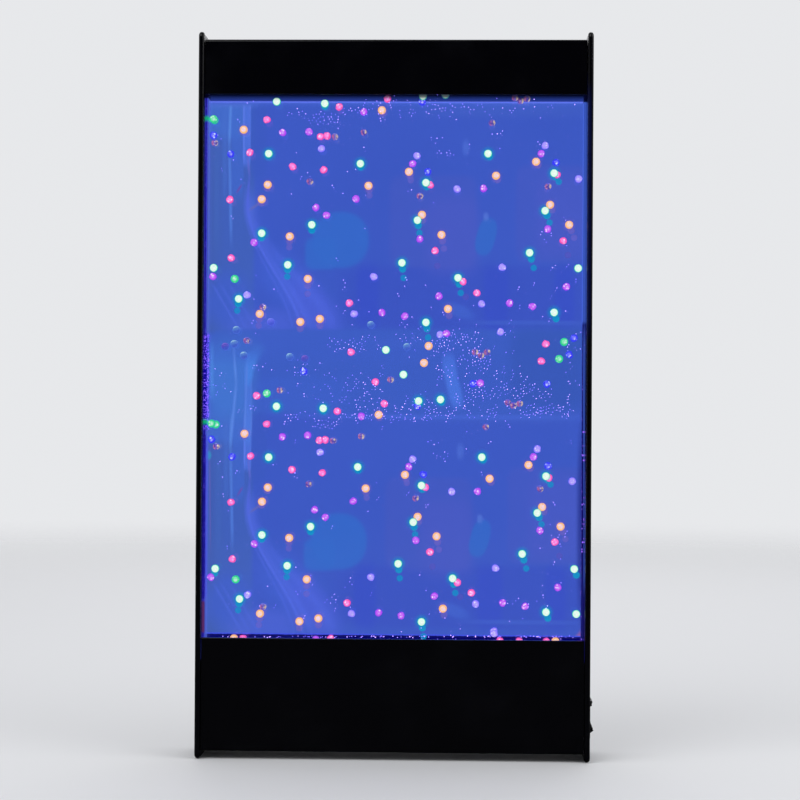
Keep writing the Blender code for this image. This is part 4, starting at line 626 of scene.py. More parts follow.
def gloss_black():
    """Black acrylic sheet, polished, with faint rubbing marks and dust, and a painted blue glow on the right
    plate's inner edge next to the lit tank.
    """
    base = (0.0005, 0.0005, 0.0012)
    material, shader, spots = finish("gloss_black_acrylic", base, 0.14)
    point = spots["Object"]
    scratches, dust = wear(point)
    dirt = scaled(dust["Film"], 0.10, times(dust["Specks"], 0.5))
    x, y, z = split(point)
    x = minus(x, PLATE_CORNER.x)
    y = minus(y, PLATE_CORNER.y)
    # Painted light: a faint blue glow on the right plate's inner front edge, next to the lit tank
    glow_rim = times(ramp(x, 0.00365, 0.00045), ramp(y, 0.0035, 0.0010), ramp(x, -0.00075, 0.00005),
                height_band(z, PLATE_GLOW_ROWS, 0.012))
    light_up(shader, blend(glow_rim, BLACK, display(5, 12, 56)))
    rough = scaled(dust["Film"], 0.07, scaled(scratches["Mask"], 0.30, 0.13))
    under = ramp(split(spots["Normal"])[2], -0.7, -0.95, 0.0, 0.65)
    feed(shader, {"Base Color": blend(dirt, (*base, 1), (0.009, 0.010, 0.014, 1)),
                  "Roughness": calc("MAXIMUM", rough, under), "IOR": 1.45, "Specular IOR Level": 0.5})
    bump(shader, scratches["Height"], 0.00002, 0.5)
    return material


def satin_black():
    """The back sheet: black plastic with a pebbled grain."""
    material, shader, spots = finish("pebbled_black_sheet", (0.012, 0.012, 0.014), 0.5)
    grain = use(shader.id_data, "grain", {"Point": spots["Object"], "Scale": 620.0})
    dust = use(shader.id_data, "dust", {"Point": spots["Object"], "Scale": 180.0, "Share": 0.2})
    film = times(dust["Film"], 0.5)
    feed(shader, {"Base Color": blend(film, (0.010, 0.010, 0.012, 1), (0.030, 0.030, 0.033, 1)),
                  "Roughness": scaled(grain["Mottle"], 0.2, 0.38)})
    bump(shader, grain["Height"], 0.0002, 0.6)
    return material


def bare_metal(name, colour, stain, roughness, scale, stretch):
    """A bare metal with drawn lines and a light stain."""
    material, shader, spots = finish(name, colour, roughness, 1.0)
    drawn = use(shader.id_data, "drawn", {"Point": stretched(spots["Object"], stretch), "Scale": scale})
    feed(shader, {"Base Color": blend(drawn["Stain"], (*colour, 1), (*stain, 1)),
                  "Roughness": ramp(drawn["Lines"], 0.3, 0.7, roughness - 0.08, roughness + 0.14)})
    bump(shader, drawn["Lines"], 0.00004, 0.5)
    return material


def moulded(name, colour, roughness, scale=900.0, depth=0.00005):
    """A moulded plastic with fine grain."""
    material, shader, spots = finish(name, colour, roughness)
    grain = use(shader.id_data, "grain", {"Point": spots["Object"], "Scale": scale})
    darker = tuple(part * 0.75 for part in colour)
    feed(shader, {"Base Color": blend(grain["Mottle"], (*darker, 1), (*colour, 1)),
                  "Roughness": scaled(grain["Mottle"], 0.16, roughness - 0.08)})
    bump(shader, grain["Height"], depth, 0.6)
    return material


def clear_sheet():
    """Clear acrylic, with a trace of dust and of rubbing marks."""
    material, shader, spots = finish("clear_acrylic", (1.0, 1.0, 1.0), 0.0)
    scratches, dust = wear(spots["Object"])
    haze = times(dust["Film"], 0.5)
    feed(shader, {"Transmission Weight": 1.0, "IOR": 1.49, "Roughness": times(scratches["Mask"], 0.06),
                  "Base Color": blend(haze, WHITE, (0.965, 0.975, 0.99, 1))})
    return material


def left_wall_acrylic():
    """The tank's left wall, its glow painted: lit along its inner edge, deep blue outside, with glints of
    bubbles, a warm glow at its foot, reflections of green beads and shade above the lit sheet.
    """
    material, shader, spots = finish("wall_acrylic_left", WALL_BASE, 0.2)
    point = spots["Object"]
    x, _, z = split(point)
    across = minus(x, WALL_LEFT)
    lit_width = scaled(height_band(z, THIN_GLOW_ROWS), WALL_GLOW_LOW - WALL_GLOW, WALL_GLOW)
    inward = plus(lit_width, uneven(point, 500.0, 0.0009), across)
    dark = blend(noise(point, 60.0), display(11, 8, 104), display(34, 26, 170))
    lit = blend(ramp(inward, 0.0002, 0.0010), display(60, 62, 206), display(66, 84, 178))
    glow = blend(ramp(inward, -0.0001, 0.0002), dark, lit)
    crowded = height_band(z, CROWDED_ROWS)
    near, _ = cells(point, 860.0)
    warm_glow = times(height_band(z, WARM_GLOW_ROWS, 0.001), ramp(across, -0.0003, -0.0008))
    # Painted light and shade: glow where bubbles crowd, bubble glints, a warm foot, green bead reflections,
    # shade above the lit sheet
    layers = [
        (crowded, display(12, 6, 156)),
        (times(ramp(near, 0.50, 0.30), crowded), display(124, 88, 255, 1.25)),
        (times(ramp(near, 0.26, 0.12), 0.7), display(120, 96, 250)),
        (warm_glow, display(90, 42, 100)),
        *((height_band(z, (row - 2, row + 2), 0.0015), display(16, 176, 116)) for row in GREEN_REFLECTION_ROWS),
        (ramp(z, GLOW_HIGH - 0.0006, GLOW_HIGH + 0.0008), display(4, 5, 30)),
    ]
    for mask, colour in layers:
        glow = blend(mask, glow, colour)
    feed(shader, DULL_GLOSS)
    light_up(shader, glow)
    return material


def right_wall_acrylic():
    """The tank's right wall, its glow painted: lit like the sheet above, dark with a thin bright line below,
    glints of bubbles, and painted shade outside the line and above the lit sheet.
    """
    material, shader, spots = finish("wall_acrylic_right", WALL_BASE, 0.2)
    point = spots["Object"]
    x, _, z = split(point)
    lit = blend(noise(point, 40.0), display(54, 82, 182), display(60, 90, 192))
    dark = blend(noise(point, 60.0), display(12, 12, 84), display(24, 22, 112))
    (high_row, high_step), (low_row, low_step) = LINE_SLANT
    high, low = (height_of(row, column=LINE_COLUMN) for row in (high_row, low_row))
    beyond = minus(minus(x, WALL_RIGHT), ramp(z, high, low, high_step, low_step))
    line = times(ramp(size_of(beyond), 0.00050, 0.00025), height_band(z, LINE_ROWS, 0.012))
    dark = blend(line, dark, display(62, 94, 196))
    glow = blend(height_band(z, RIGHT_LIT_ROWS, 0.002), dark, lit)
    # Painted glints of bubbles, and painted shade outside the bright line
    near, _ = cells(point, 300.0)
    bubble_glint_mask = times(ramp(near, 0.26, 0.12), height_band(z, RIGHT_BUBBLE_ROWS))
    glow = blend(bubble_glint_mask, glow, display(150, 100, 250, 1.2))
    outer = times(ramp(beyond, 0.00045, 0.00070), height_band(z, RIGHT_SHADE_ROWS, 0.010))
    glow = blend(outer, glow, display(2, 3, 26))
    # Painted shade above the lit sheet
    top = at_pixel(RIGHT_TOP, LIQUID_FRONT).z
    feed(shader, DULL_GLOSS)
    light_up(shader, blend(ramp(z, top - 0.0003, top + 0.0006), glow, display(3, 5, 34)))
    return material


def luminous_sheet():
    """The lit sheet: violet-blue light with the pale streaks, patches and edge lines that the tank shows, its
    streaks painted reflections and a patch of painted shade at the lower right.
    """
    material, shader, spots = finish("lit_opal_sheet", SHEET_BASE, 0.5)
    point = spots["Object"]
    x, _, z = split(point)
    left, blue_from = (at_pixel((column, 300), GLOW_FRONT).x for column in (206, 254))
    pixel_step = at_pixel((401, 400), GLOW_FRONT).x - at_pixel((400, 400), GLOW_FRONT).x
    colour = blend(noise(point, 9.0, 3.0), display(55, 83, 187), display(61, 90, 196))
    # The left edge is greener
    colour = blend(ramp(x, blue_from + 0.002, blue_from - 0.002), colour, display(62, 94, 182))
    colour = blend(ramp(x, left + 0.016, left), colour, display(63, 92, 171))

    def lay(group, inputs, target, share):
        """Lay a light over the sheet's colour."""
        nonlocal colour
        mask = use(shader.id_data, group, {"Point": point, **inputs})["Mask"]
        colour = blend(times(mask, share), colour, display(*target))

    def patch(pixel, half, target, share, turn=0.0, power=2.5, softness=0.2):
        """Lay a soft patch, in the half of the picture that is being made."""
        place = at_pixel(where(pixel), GLOW_FRONT)
        lay("patch", {"Middle X": place.x, "Middle Z": place.z, "Half Width": half[0] * pixel_step,
                      "Half Height": half[1] * pixel_step, "Turn": math.radians(turn), "Power": power,
                      "Softness": softness}, target, share)

    def streak(pixel, length, width, target, share, swing=0.0, swing_from=0.2, lean=0.0, fade=0.15):
        """Lay a thin line of light, in the half of the picture that is being made."""
        column, row = where(pixel)
        top, end = (at_pixel(spot, GLOW_FRONT) for spot in ((column, row), (column + lean, row + length)))
        lay("streak", {"Start X": top.x, "Start Z": top.z, "Length": top.z - end.z, "Lean": end.x - top.x,
                       "Swing": swing * pixel_step, "Swing From": swing_from, "Width": width * pixel_step,
                       "Fade": fade}, target, share)

    for where in (as_shown, lower):
        # Two faint panes, dull ground under them and three darker bars
        patch((470, 297), (128, 31), (56, 80, 189), 0.75, power=6.0, softness=0.12)
        for column, half in ((368, 11), (496, 12.5), (564, 10)):
            patch((column, 297), (half, 31), (52, 75, 195), 0.6, power=4.0, softness=0.32)
        patch((433, 222), (43, 46), (66, 87, 189), 0.75, power=9.0, softness=0.07)
        patch((452, 236), (26, 38), (72, 88, 192), 0.7, power=4.0, softness=0.3)
        patch((553, 214), (37, 48), (66, 87, 190), 0.75, power=9.0, softness=0.07)
        patch((562, 216), (25, 40), (71, 88, 193), 0.7, power=5.0, softness=0.25)
        # The teal shapes
        patch((341, 240), (28, 28), (49, 103, 198), 0.88, power=2.2, softness=0.10)
        patch((321, 254), (15.5, 15.5), (49, 103, 198), 0.88, power=5.0, softness=0.16)
        patch((486, 237), (9.5, 19), (50, 102, 197), 0.9, turn=-14.0, softness=0.12)
        # The sweep of light at the left: painted reflections in the tank's clear sheets
        patch((287, 281), (31, 20), (65, 97, 209), 0.65, turn=-48.0, softness=0.6)
        patch((312, 306), (34, 17), (75, 96, 214), 0.75, turn=-50.0, softness=0.5)
        patch((262, 326), (34, 16), (74, 98, 210), 0.75, power=3.0, softness=0.5)
        patch((228, 300), (22, 26), (62, 93, 201), 0.7, turn=-30.0, softness=0.5)
        for offset, swing, width, share in ((0, 56, 3.2, 0.85), (2, 62, 6.5, 0.5), (-3, 50, 2.4, 0.35),
                                            (4, 84, 9.0, 0.35)):
            streak((248 + offset, 180), 162, width, (80, 105, 222), share, swing=swing, swing_from=0.16,
                   fade=0.18)
        for offset, share in ((0, 0.55), (8, 0.4), (17, 0.35)):
            streak((209 + offset, 278), 58, 2.6, (77, 104, 216), share, lean=34, fade=0.25)
        # Upright streaks: painted reflections in the tank's clear sheets
        patch((238, 150), (6, 46), (63, 101, 199), 0.8, power=6.0)
        patch((229, 114), (23, 24), (65, 107, 202), 0.85, power=5.0, softness=0.25)
        patch((259, 136), (8, 42), (57, 87, 188), 0.8, power=5.0)
        patch((247.3, 130), (3.9, 36), (75, 111, 217), 0.9, power=8.0, softness=0.12)
        streak((244.2, 94), 74, 1.6, (94, 124, 230), 0.8, fade=0.2)
        streak((249.6, 94), 82, 1.6, (82, 112, 217), 0.5, fade=0.2)
        streak((247.2, 150), 30, 2.0, (100, 104, 204), 0.6, lean=3.0, fade=0.35)
        streak((250.2, 168), 50, 2.2, (80, 98, 214), 0.6, lean=-3.0, fade=0.35)
        streak((231.8, 90), 60, 2.6, (86, 134, 222), 0.85, lean=-2.4, fade=0.25)
        streak((229.4, 126), 130, 2.6, (80, 124, 217), 0.85, lean=2.4, fade=0.3)
        streak((225, 94), 120, 4.0, (70, 110, 200), 0.5, fade=0.3)
        streak((217, 120), 150, 5.0, (66, 104, 184), 0.4, fade=0.3)
        # Small bright spots, and pale strips above and below
        patch((466, 148), (3.2, 7), (78, 112, 212), 0.6, softness=0.6)
        patch((486, 217), (2.6, 4), (88, 122, 214), 0.6, softness=0.6)
        patch((459, 311), (15, 6), (64, 98, 202), 0.75, turn=-22.0, power=2.0, softness=0.5)
        patch((530, 323), (56, 2.2), (64, 95, 198), 0.75, power=3.0, softness=0.6)
        patch((500, 108), (86, 9), (64, 94, 194), 0.7, power=3.0, softness=0.6)
        # Orange tail: painted light below an orange bead
        patch((256, 206), (7, 1.3), (108, 106, 170), 0.55, turn=35.0, softness=0.6)
        # Traces at the left edge: a brown line, a teal smudge and a dark red scratch
        streak((208.2, 138), 120, 1.0, (104, 92, 170), 0.7, lean=1.0, fade=0.3)
        patch((207.5, 152), (2.4, 4), (40, 150, 190), 0.7, power=2.0, softness=0.5)
        patch((239.5, 189), (1.0, 4.4), (112, 60, 160), 0.6, turn=-32.0, softness=0.6)
    where = as_shown
    # A brighter strip under the upper edge, and the band between the two halves
    patch((230, 101), (25, 6), (82, 118, 211), 0.8, power=4.0, softness=0.5)
    patch((393, 372), (196, 42), (58, 92, 191), 0.85, power=9.0, softness=0.05)
    patch((552, 368), (42, 40), (53, 86, 179), 0.85, power=6.0)
    patch((234, 376), (24, 40), (63, 108, 196), 0.8, power=4.0, softness=0.25)
    patch((230, 382), (18, 34), (65, 116, 206), 0.85, power=4.0, softness=0.35)
    patch((256, 353), (6, 10), (66, 116, 206), 0.8, turn=-35.0, softness=0.5)
    # A bent streak, and a column that opens upwards like a horn: painted reflections in the tank's clear
    # sheets
    streak((233.2, 336), 53, 2.3, (88, 134, 224), 0.9, lean=3.6, fade=0.3)
    streak((237.2, 376), 70, 2.4, (88, 132, 224), 0.9, lean=-6.4, fade=0.25)
    patch((248.1, 404), (3.5, 40), (76, 120, 218), 0.9, power=8.0, softness=0.15)
    for column, swing, width in ((249.2, -1.6, 4.4), (254.4, -5.6, 4.6), (259.4, -10.6, 4.6)):
        streak((column, 349), 40, width, (70, 128, 222), 0.85, swing=swing, swing_from=-0.35, fade=0.2)
    streak((247.6, 358), 80, 1.5, (90, 130, 224), 0.8, lean=-2.8, fade=0.2)
    streak((251.8, 376), 64, 1.4, (86, 124, 220), 0.7, fade=0.25)
    streak((212.4, 334), 72, 3.4, (76, 134, 220), 0.85, fade=0.3)
    # Paler shapes in the band
    patch((300, 395), (48, 17), (60, 95, 199), 0.55, power=4.0, softness=0.3)
    patch((449.6, 368), (6.5, 14), (72, 114, 218), 0.9, turn=8.0, power=3.0, softness=0.4)
    patch((454.4, 391), (6.4, 16), (72, 116, 220), 0.9, turn=14.0, power=3.0, softness=0.4)
    patch((420, 344), (40, 4), (64, 98, 200), 0.55, softness=0.6)
    patch((445, 417), (130, 2.4), (66, 99, 205), 0.8, power=4.0, softness=0.6)
    patch((330, 348), (120, 14), (60, 92, 196), 0.5, power=4.0, softness=0.5)
    # Specks of dust and tiny bubbles everywhere, painted as glints
    speck_glints = use(shader.id_data, "dust", {"Point": point, "Scale": 240.0, "Share": 0.16})["Specks"]
    colour = blend(times(speck_glints, 0.5), colour, display(112, 118, 232))
    colour = blend(times(noise(point, 1400.0), 0.10), colour, display(96, 120, 220))
    # The lit edges
    ragged = uneven(point, 700.0, 0.0010)
    drop = plus(minus(GLOW_HIGH, z), ragged)
    colour = blend(ramp(drop, 0.0050, 0.0), colour, display(68, 98, 204))
    colour = blend(times(ramp(drop, 0.0017, 0.0006), 0.9), colour, display(98, 120, 240))
    # Painted shade along the lower right edge, a warm corner below it and the dark foot of the sheet
    patch((583.5, 520), (6, 84), (38, 50, 138), 0.85, power=3.0, softness=0.5)
    patch((584, 638), (14, 22), (160, 98, 150), 0.85, power=0.56, softness=0.35)
    foot = height_of(SHEET_FOOT, GLOW_FRONT)
    below = ramp(plus(z, ragged), foot + 0.0003, foot - 0.0003)
    colour = blend(ramp(z, foot + 0.0014, foot + 0.0004), colour, display(66, 84, 226))
    feed(shader, {"Base Color": blend(below, (*SHEET_BASE, 1), (0.001, 0.001, 0.004, 1)), **DULL_GLOSS})
    light_up(shader, blend(below, colour, display(4, 2, 96)), SHEET_GLOW)
    return material


def black_channel():
    """The black channel round the light box, with light that spills on it next to the lit sheet."""
    material, shader, spots = finish("black_channel", (0.0008, 0.0008, 0.002), 0.35)
    point = spots["Object"]
    z = split(point)[2]
    above = minus(z, GLOW_HIGH)
    spill = blend(ramp(above, 0.0050, 0.0), display(0, 1, 12), display(40, 62, 150))
    spill = blend(ramp(above, 0.0007, 0.0), spill, display(44, 58, 186))
    spill = blend(calc("LESS_THAN", z, 0.0), spill, display(3, 2, 108))
    light_up(shader, blend(ramp(minus(GLOW_LOW, z), 0.0012, 0.0034), spill, display(2, 1, 40)))
    drawn = use(shader.id_data, "drawn", {"Point": stretched(point, (0.05, 1.0, 1.0)), "Scale": 500.0})
    feed(shader, {"Roughness": ramp(drawn["Lines"], 0.3, 0.7, 0.28, 0.45)})
    return material


def body_colour(display_colour):
    """The dull colour under a bead's glow."""
    return [part * 0.35 for part in display(*display_colour)[:3]]


def unlit_above(point, colour):
    """A bead's colour, lost in the dark where it floats above the lit sheet."""
    low, high = (height_of(row, LIQUID_FRONT + BEAD_RADIUS) for row in TOP_SHADE)
    return blend(ramp(split(point)[2], low, high, 0.0, 0.93), colour, display(14, 18, 38))


def bead_finish(kind):
    """The finish of one kind of fluorescent bead, with its painted glow, highlights and shade."""
    edge, glow_rim, middle, fleck_highlight, glint = BEAD_COLOURS[kind]
    share, scale = (0.95, 440.0) if kind in LUMPY_KINDS else (0.8, 380.0)
    middle_from = MIDDLE_FROM.get(kind, OTHER_MIDDLE_FROM)
    material, shader, spots = finish(f"bead_{kind}", body_colour(glow_rim), 0.28)
    colour = use(shader.id_data, "bead", {
        "Edge": display(*edge), "Rim": display(*glow_rim, 1.04), "Middle": display(*middle, 1.04),
        "Fleck": display(*fleck_highlight, 1.12), "Glint": display(*glint, 1.04), "Middle From": middle_from,
        "Middle To": middle_from + MIDDLE_REACH, "Fleck Share": share, "Fleck Scale": scale})["Colour"]
    return small_glow(material, shader, unlit_above(spots["Object"], colour))


def far_bead_finish(kind):
    """A bead far back in the liquid, its glow painted: pale light along its upper edge, painted shade below
    where it is lost in the blue.
    """
    under, body, crest_light = FAR_BEADS[kind]
    material, shader, spots = finish(f"bead_{kind}", body_colour(body), 0.3)
    across, _, up = split(spots["Normal"])
    wavy = minus(times(noise(spots["Object"], 420.0), 0.3), 0.15)
    lean = plus(scaled(across, -0.35, up), wavy)
    colour = blend(ramp(lean, -0.45, 0.30), display(*under), display(*body))
    return small_glow(material, shader, blend(ramp(lean, 0.42, 0.92), colour, display(*crest_light)))


def clear_bead_finish():
    """Clear beads, their glow painted: the light they bend is painted as brown, violet and yellow parts by
    the way each side faces, with small painted highlights.
    """
    material, shader, spots = finish("bead_clear", (0.10, 0.08, 0.12), 0.1)
    across, _, up = split(spots["Normal"])
    near, _ = cells(spots["Object"], 560.0)
    colour = blend(ramp(across, -0.5, 0.1), display(170, 96, 150), display(106, 94, 206))
    # Painted light: a paler side, a bluish top, dark lines and bright highlight flecks
    for mask, over in ((ramp(across, 0.10, 0.55), display(200, 176, 158)),
                       (ramp(up, 0.35, 0.85), display(96, 92, 212)),
                       (ramp(near, 0.50, 0.72), display(78, 66, 168)),
                       (ramp(near, 0.22, 0.08), display(236, 230, 220, 1.2))):
        colour = blend(mask, colour, over)
    return small_glow(material, shader, unlit_above(spots["Object"], colour))


def painted_reflection_finish(name, colour, strength):
    """A faint round patch of painted light, soft at its edge, for a bead's reflection and for the glow round
    it.
    """
    material, shader, spots = finish(name, (0.0, 0.0, 0.0), 0.6)
    across, up, _ = split(spots["UV"])
    away = distance(minus(across, 0.5), minus(up, 0.5))
    soft = ramp(away, 0.48, 0.12) if "halo" in name else ramp(away, 0.49, 0.40)
    feed(shader, {"Specular IOR Level": 0.0, "Alpha": times(soft, strength)})
    cloud = noise(spots["Object"], 400.0)
    return small_glow(material, shader, blend(cloud, display(*colour, 0.92), display(*colour, 1.08)))


def bubble_finish(name, dull, bright):
    """Bubbles catch the violet light."""
    material, shader, spots = finish(name, (0.30, 0.22, 0.60), 0.1)
    pale = ramp(noise(spots["Object"], 210.0, 1.0), 0.42, 0.60)
    return small_glow(material, shader, blend(pale, display(*dull), display(*bright)))


def lamp_board():
    """The white board of a light strip, with its violet chips."""
    board = (0.80, 0.80, 0.82)
    material, shader, spots = finish("lamp_board", board, 0.4)
    x, y, _ = split(spots["Object"])
    beat = size_of(minus(calc("FRACT", calc("DIVIDE", x, CHIP_PITCH)), 0.5))
    off = size_of(minus(y, middle_of("light_strip_top").y))
    chip = times(ramp(beat, 0.34, 0.36), ramp(off, 0.0015, 0.0013))
    pads = times(ramp(beat, 0.20, 0.22), ramp(off, 0.0026, 0.0024))
    colour = blend(pads, (*board, 1), (0.62, 0.60, 0.52, 1))
    feed(shader, {"Base Color": blend(chip, colour, (0.85, 0.80, 0.35, 1))})
    light_up(shader, blend(chip, BLACK, (0.35, 0.30, 1.0, 1)), CHIP_GLOW)
    return material


def circuit_board():
    """The driver's green board with its tracks."""
    material, shader, spots = finish("circuit_board", (0.02, 0.14, 0.06), 0.35)
    tracks = add(shader.id_data, "ShaderNodeTexBrick", {
        "Vector": stretched(spots["Object"], (1.0, 1.0, 1.0), (90.0, 0.0, 0.0)), "Scale": 160.0,
        "Color1": (0.02, 0.15, 0.06, 1), "Color2": (0.025, 0.17, 0.07, 1), "Mortar": (0.05, 0.26, 0.12, 1),
        "Mortar Size": 0.06}).outputs
    feed(shader, {"Base Color": tracks["Color"]})
    bump(shader, tracks["Fac"], 0.00004, 0.5)
    return material


def winding_tape():
    """The transformer's tape."""
    material, shader, spots = finish("winding_tape", (0.62, 0.45, 0.10), 0.5)
    inputs = {"Vector": spots["Object"], "Scale": 240.0, "Distortion": 0.4}
    waves = add(shader.id_data, "ShaderNodeTexWave", inputs, bands_direction="Z").outputs["Fac"]
    feed(shader, {"Base Color": blend(waves, (0.42, 0.28, 0.06, 1), (0.70, 0.52, 0.14, 1))})
    bump(shader, waves, 0.0001, 0.5)
    return material


def silicone_hose():
    """Milky silicone."""
    material, shader, spots = finish("milky_silicone", (0.70, 0.72, 0.75), 0.35)
    grain = use(shader.id_data, "grain", {"Point": spots["Object"], "Scale": 500.0})
    feed(shader, {"Subsurface Weight": 0.2, "Subsurface Scale": 0.002,
                  "Roughness": scaled(grain["Mottle"], 0.2, 0.25)})
    return material


def dress_solids():
    """Give each solid of the frame its finish."""
    finishes = [
        (bare_metal("zinc_steel", (0.56, 0.58, 0.62), (0.60, 0.56, 0.48), 0.32, 300.0, (1, 1, 1)),
         "hanger_left hanger_right cover_screw_left cover_screw_right"),
        (bare_metal("bar_aluminium", (0.62, 0.63, 0.64), (0.54, 0.55, 0.57), 0.36, 700.0, (1, 0.04, 1)),
         "top_rest_left top_rest_right cover_bar_left cover_bar_right"),
        (clear_sheet(), "tank_front_sheet tank_back_sheet"),
        (left_wall_acrylic(), "tank_left_wall"),
        (right_wall_acrylic(), "tank_right_wall"),
        (moulded("grey_plastic", (0.07, 0.07, 0.08), 0.42),
         "tank_floor_bar tank_lid_bar bead_screen fill_plug"),
        (moulded("seal_rubber", (0.018, 0.018, 0.018), 0.75, 1500.0), "fill_seal"),
        (luminous_sheet(), "diffuser_panel"),
        (moulded("white_tray", (0.82, 0.82, 0.84), 0.5, 500.0), "light_tray"),
        (black_channel(), "light_channel_top light_channel_bottom"),
        (lamp_board(), "light_strip_top light_strip_bottom"),
        (bare_metal("blade_brass", (0.80, 0.58, 0.25), (0.62, 0.42, 0.20), 0.3, 500.0, (0.1, 1, 1)),
         "terminal_upper terminal_lower"),
        (circuit_board(), "driver_board"),
        (bare_metal("fin_aluminium", (0.50, 0.51, 0.53), (0.42, 0.43, 0.45), 0.36, 600.0, (1, 1, 0.05)),
         "driver_heat_sink"),
        (winding_tape(), "driver_transformer"),
        (moulded("socket_plastic", (0.016, 0.016, 0.016), 0.4, 1200.0), "power_socket"),
        (moulded("lead_sleeve", (0.02, 0.02, 0.02), 0.5, 1500.0),
         "power_lead switch_lead light_lead pump_lead"),
        (moulded("pump_plastic", (0.02, 0.02, 0.022), 0.45), "pump_body pump_volute"),
        (moulded("shaft_ceramic", (0.82, 0.81, 0.77), 0.22, 1500.0, 0.00001), "pump_shaft"),
        (moulded("rotor_plastic", (0.05, 0.12, 0.30), 0.4), "pump_impeller"),
        (silicone_hose(), "jet_hose suction_hose"),
        (moulded("fitting_plastic", (0.03, 0.03, 0.03), 0.42), "jet_fitting suction_fitting drain_tap_body"),
        (moulded("key_plastic", (0.42, 0.03, 0.03), 0.38), "drain_tap_key"),
    ]
    for material, names in finishes:
        for name in names.split():
            coat(SOLIDS[name], material)


# Modelling


def coat(item, material):
    """Give a piece one finish."""
    item.data.materials.clear()
    item.data.materials.append(material)


def deselect():
    """Leave nothing selected."""
    for item in bpy.context.selected_objects:
        item.select_set(False)


def pick(item):
    """Select one object and make it the active one."""
    deselect()
    item.select_set(True)
    bpy.context.view_layer.objects.active = item


def edit_all():
    """Enter edit mode with everything selected."""
    bpy.ops.object.mode_set(mode="EDIT")
    bpy.ops.mesh.select_all(action="SELECT")


def edit_some(item, elements, wanted):
    """Enter edit mode with only the wanted faces or points selected."""
    bpy.ops.object.mode_set(mode="EDIT")
    bpy.ops.mesh.select_all(action="DESELECT")
    leave_edit()
    for element in getattr(item.data, elements):
        element.select = wanted(element)
    bpy.ops.object.mode_set(mode="EDIT")


def leave_edit():
    """Go back to object mode."""
    bpy.ops.object.mode_set(mode="OBJECT")


def name_it(name):
    """Name the primitive that was just added."""
    item = bpy.context.object
    item.name = name
    item.data.name = name
    return item


def settle():
    """Put the place of the active object in its mesh."""
    bpy.ops.object.transform_apply(location=True, rotation=True, scale=True)


def modify(item, kind, **settings):
    """Add a modifier to the active object and apply it."""
    modifier = item.modifiers.new(kind.lower(), kind)
    for name, value in settings.items():
        setattr(modifier, name, value)
    bpy.ops.object.modifier_apply(modifier=modifier.name)


def cut(item, tool):
    """Take the shape of a tool out of a piece, and remove the tool."""
    pick(item)
    modify(item, "BOOLEAN", object=tool, operation="DIFFERENCE", solver="EXACT")
    bpy.data.objects.remove(tool)


def whole_copy(name, node):
    """A copy of a solid of the frame, its loose triangles merged and its flat sides made whole."""
    item = bpy.data.objects.new(name, SOLIDS[node].data.copy())
    item.data.name = name
    bpy.context.scene.collection.objects.link(item)
    pick(item)
    edit_all()
    bpy.ops.mesh.remove_doubles(threshold=MERGE_REACH)
    bpy.ops.mesh.dissolve_limited(angle_limit=math.radians(FLAT_ANGLE))
    leave_edit()
    return item


def smooth(item):
    """Shade roundings smoothly and keep flat sides flat."""
    pick(item)
    bpy.ops.object.shade_smooth_by_angle(angle=math.radians(SMOOTH_ANGLE))
    modify(item, "WEIGHTED_NORMAL", keep_sharp=True)


def break_edges(item, width, sharp=SHARP_ANGLE):
    """Round the sharp edges a little and shade the rounding."""
    pick(item)
    modify(item, "BEVEL", width=width, segments=2, limit_method="ANGLE", angle_limit=math.radians(sharp),
           use_clamp_overlap=True, miter_outer="MITER_ARC")
    smooth(item)


def stand_in(item, material, body, slot, *nodes):
    """Let a finished piece stand for solids of the frame."""
    coat(item, material)
    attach(item, body)
    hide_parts(*nodes)


def model_round_bead():
    """A moulded bead: a ball with a small flat where it was fed."""
    deselect()
    bpy.ops.mesh.primitive_uv_sphere_add(segments=BALL_SEGMENTS, ring_count=BALL_RINGS, radius=BEAD_RADIUS)
    bead = name_it("round_bead")
    edit_some(bead, "vertices", lambda vertex: vertex.co.z > BEAD_RADIUS * FLAT_FROM)
    bpy.ops.transform.translate(value=(0, 0, -BEAD_RADIUS * FLAT_DEPTH))
    leave_edit()
    bpy.ops.object.shade_smooth()
    return bead


def model_lumpy_bead():
    """A bead of uneven shape, as if two drops had set together."""
    deselect()
    bpy.ops.mesh.primitive_ico_sphere_add(subdivisions=2, radius=BEAD_RADIUS * LUMP_BALL)
    bead = name_it("lumpy_bead")
    edit_all()
    bpy.ops.transform.vertex_random(offset=BEAD_RADIUS * LUMP_STEP, uniform=0.0, normal=1.0, seed=LUMP_SEED)
    leave_edit()
    edit_some(bead, "vertices", lambda vertex: vertex.co.x > BEAD_RADIUS * LUMP_FROM)
    bpy.ops.transform.translate(value=(BEAD_RADIUS * LUMP_STEP, 0, BEAD_RADIUS * LUMP_RISE))
    leave_edit()
    bpy.ops.object.shade_smooth()
    return bead


def model_bubble():
    """A tiny bubble, a little flat where it clings to the sheet."""
    deselect()
    bpy.ops.mesh.primitive_ico_sphere_add(subdivisions=1, radius=BUBBLE_RADIUS)
    bubble = name_it("one_bubble")
    edit_all()
    bpy.ops.transform.resize(value=(1.0, BUBBLE_DEPTH, 1.0))
    leave_edit()
    bpy.ops.object.shade_smooth()
    return bubble


def copies(model, name, placings, material):
    """Copies of a model, each with its own mesh, joined into one piece that rides on the panel."""
    made = []
    for placing in placings:
        item = model.copy()
        item.data = model.data.copy()
        item.data.transform(placing)
        bpy.context.scene.collection.objects.link(item)
        made.append(item)
    deselect()
    for item in made:
        item.select_set(True)
    bpy.context.view_layer.objects.active = made[0]
    if len(made) > 1:
        bpy.ops.object.join()
    piece = name_it(name)
    coat(piece, material)
    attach(piece, "panel")
    return piece


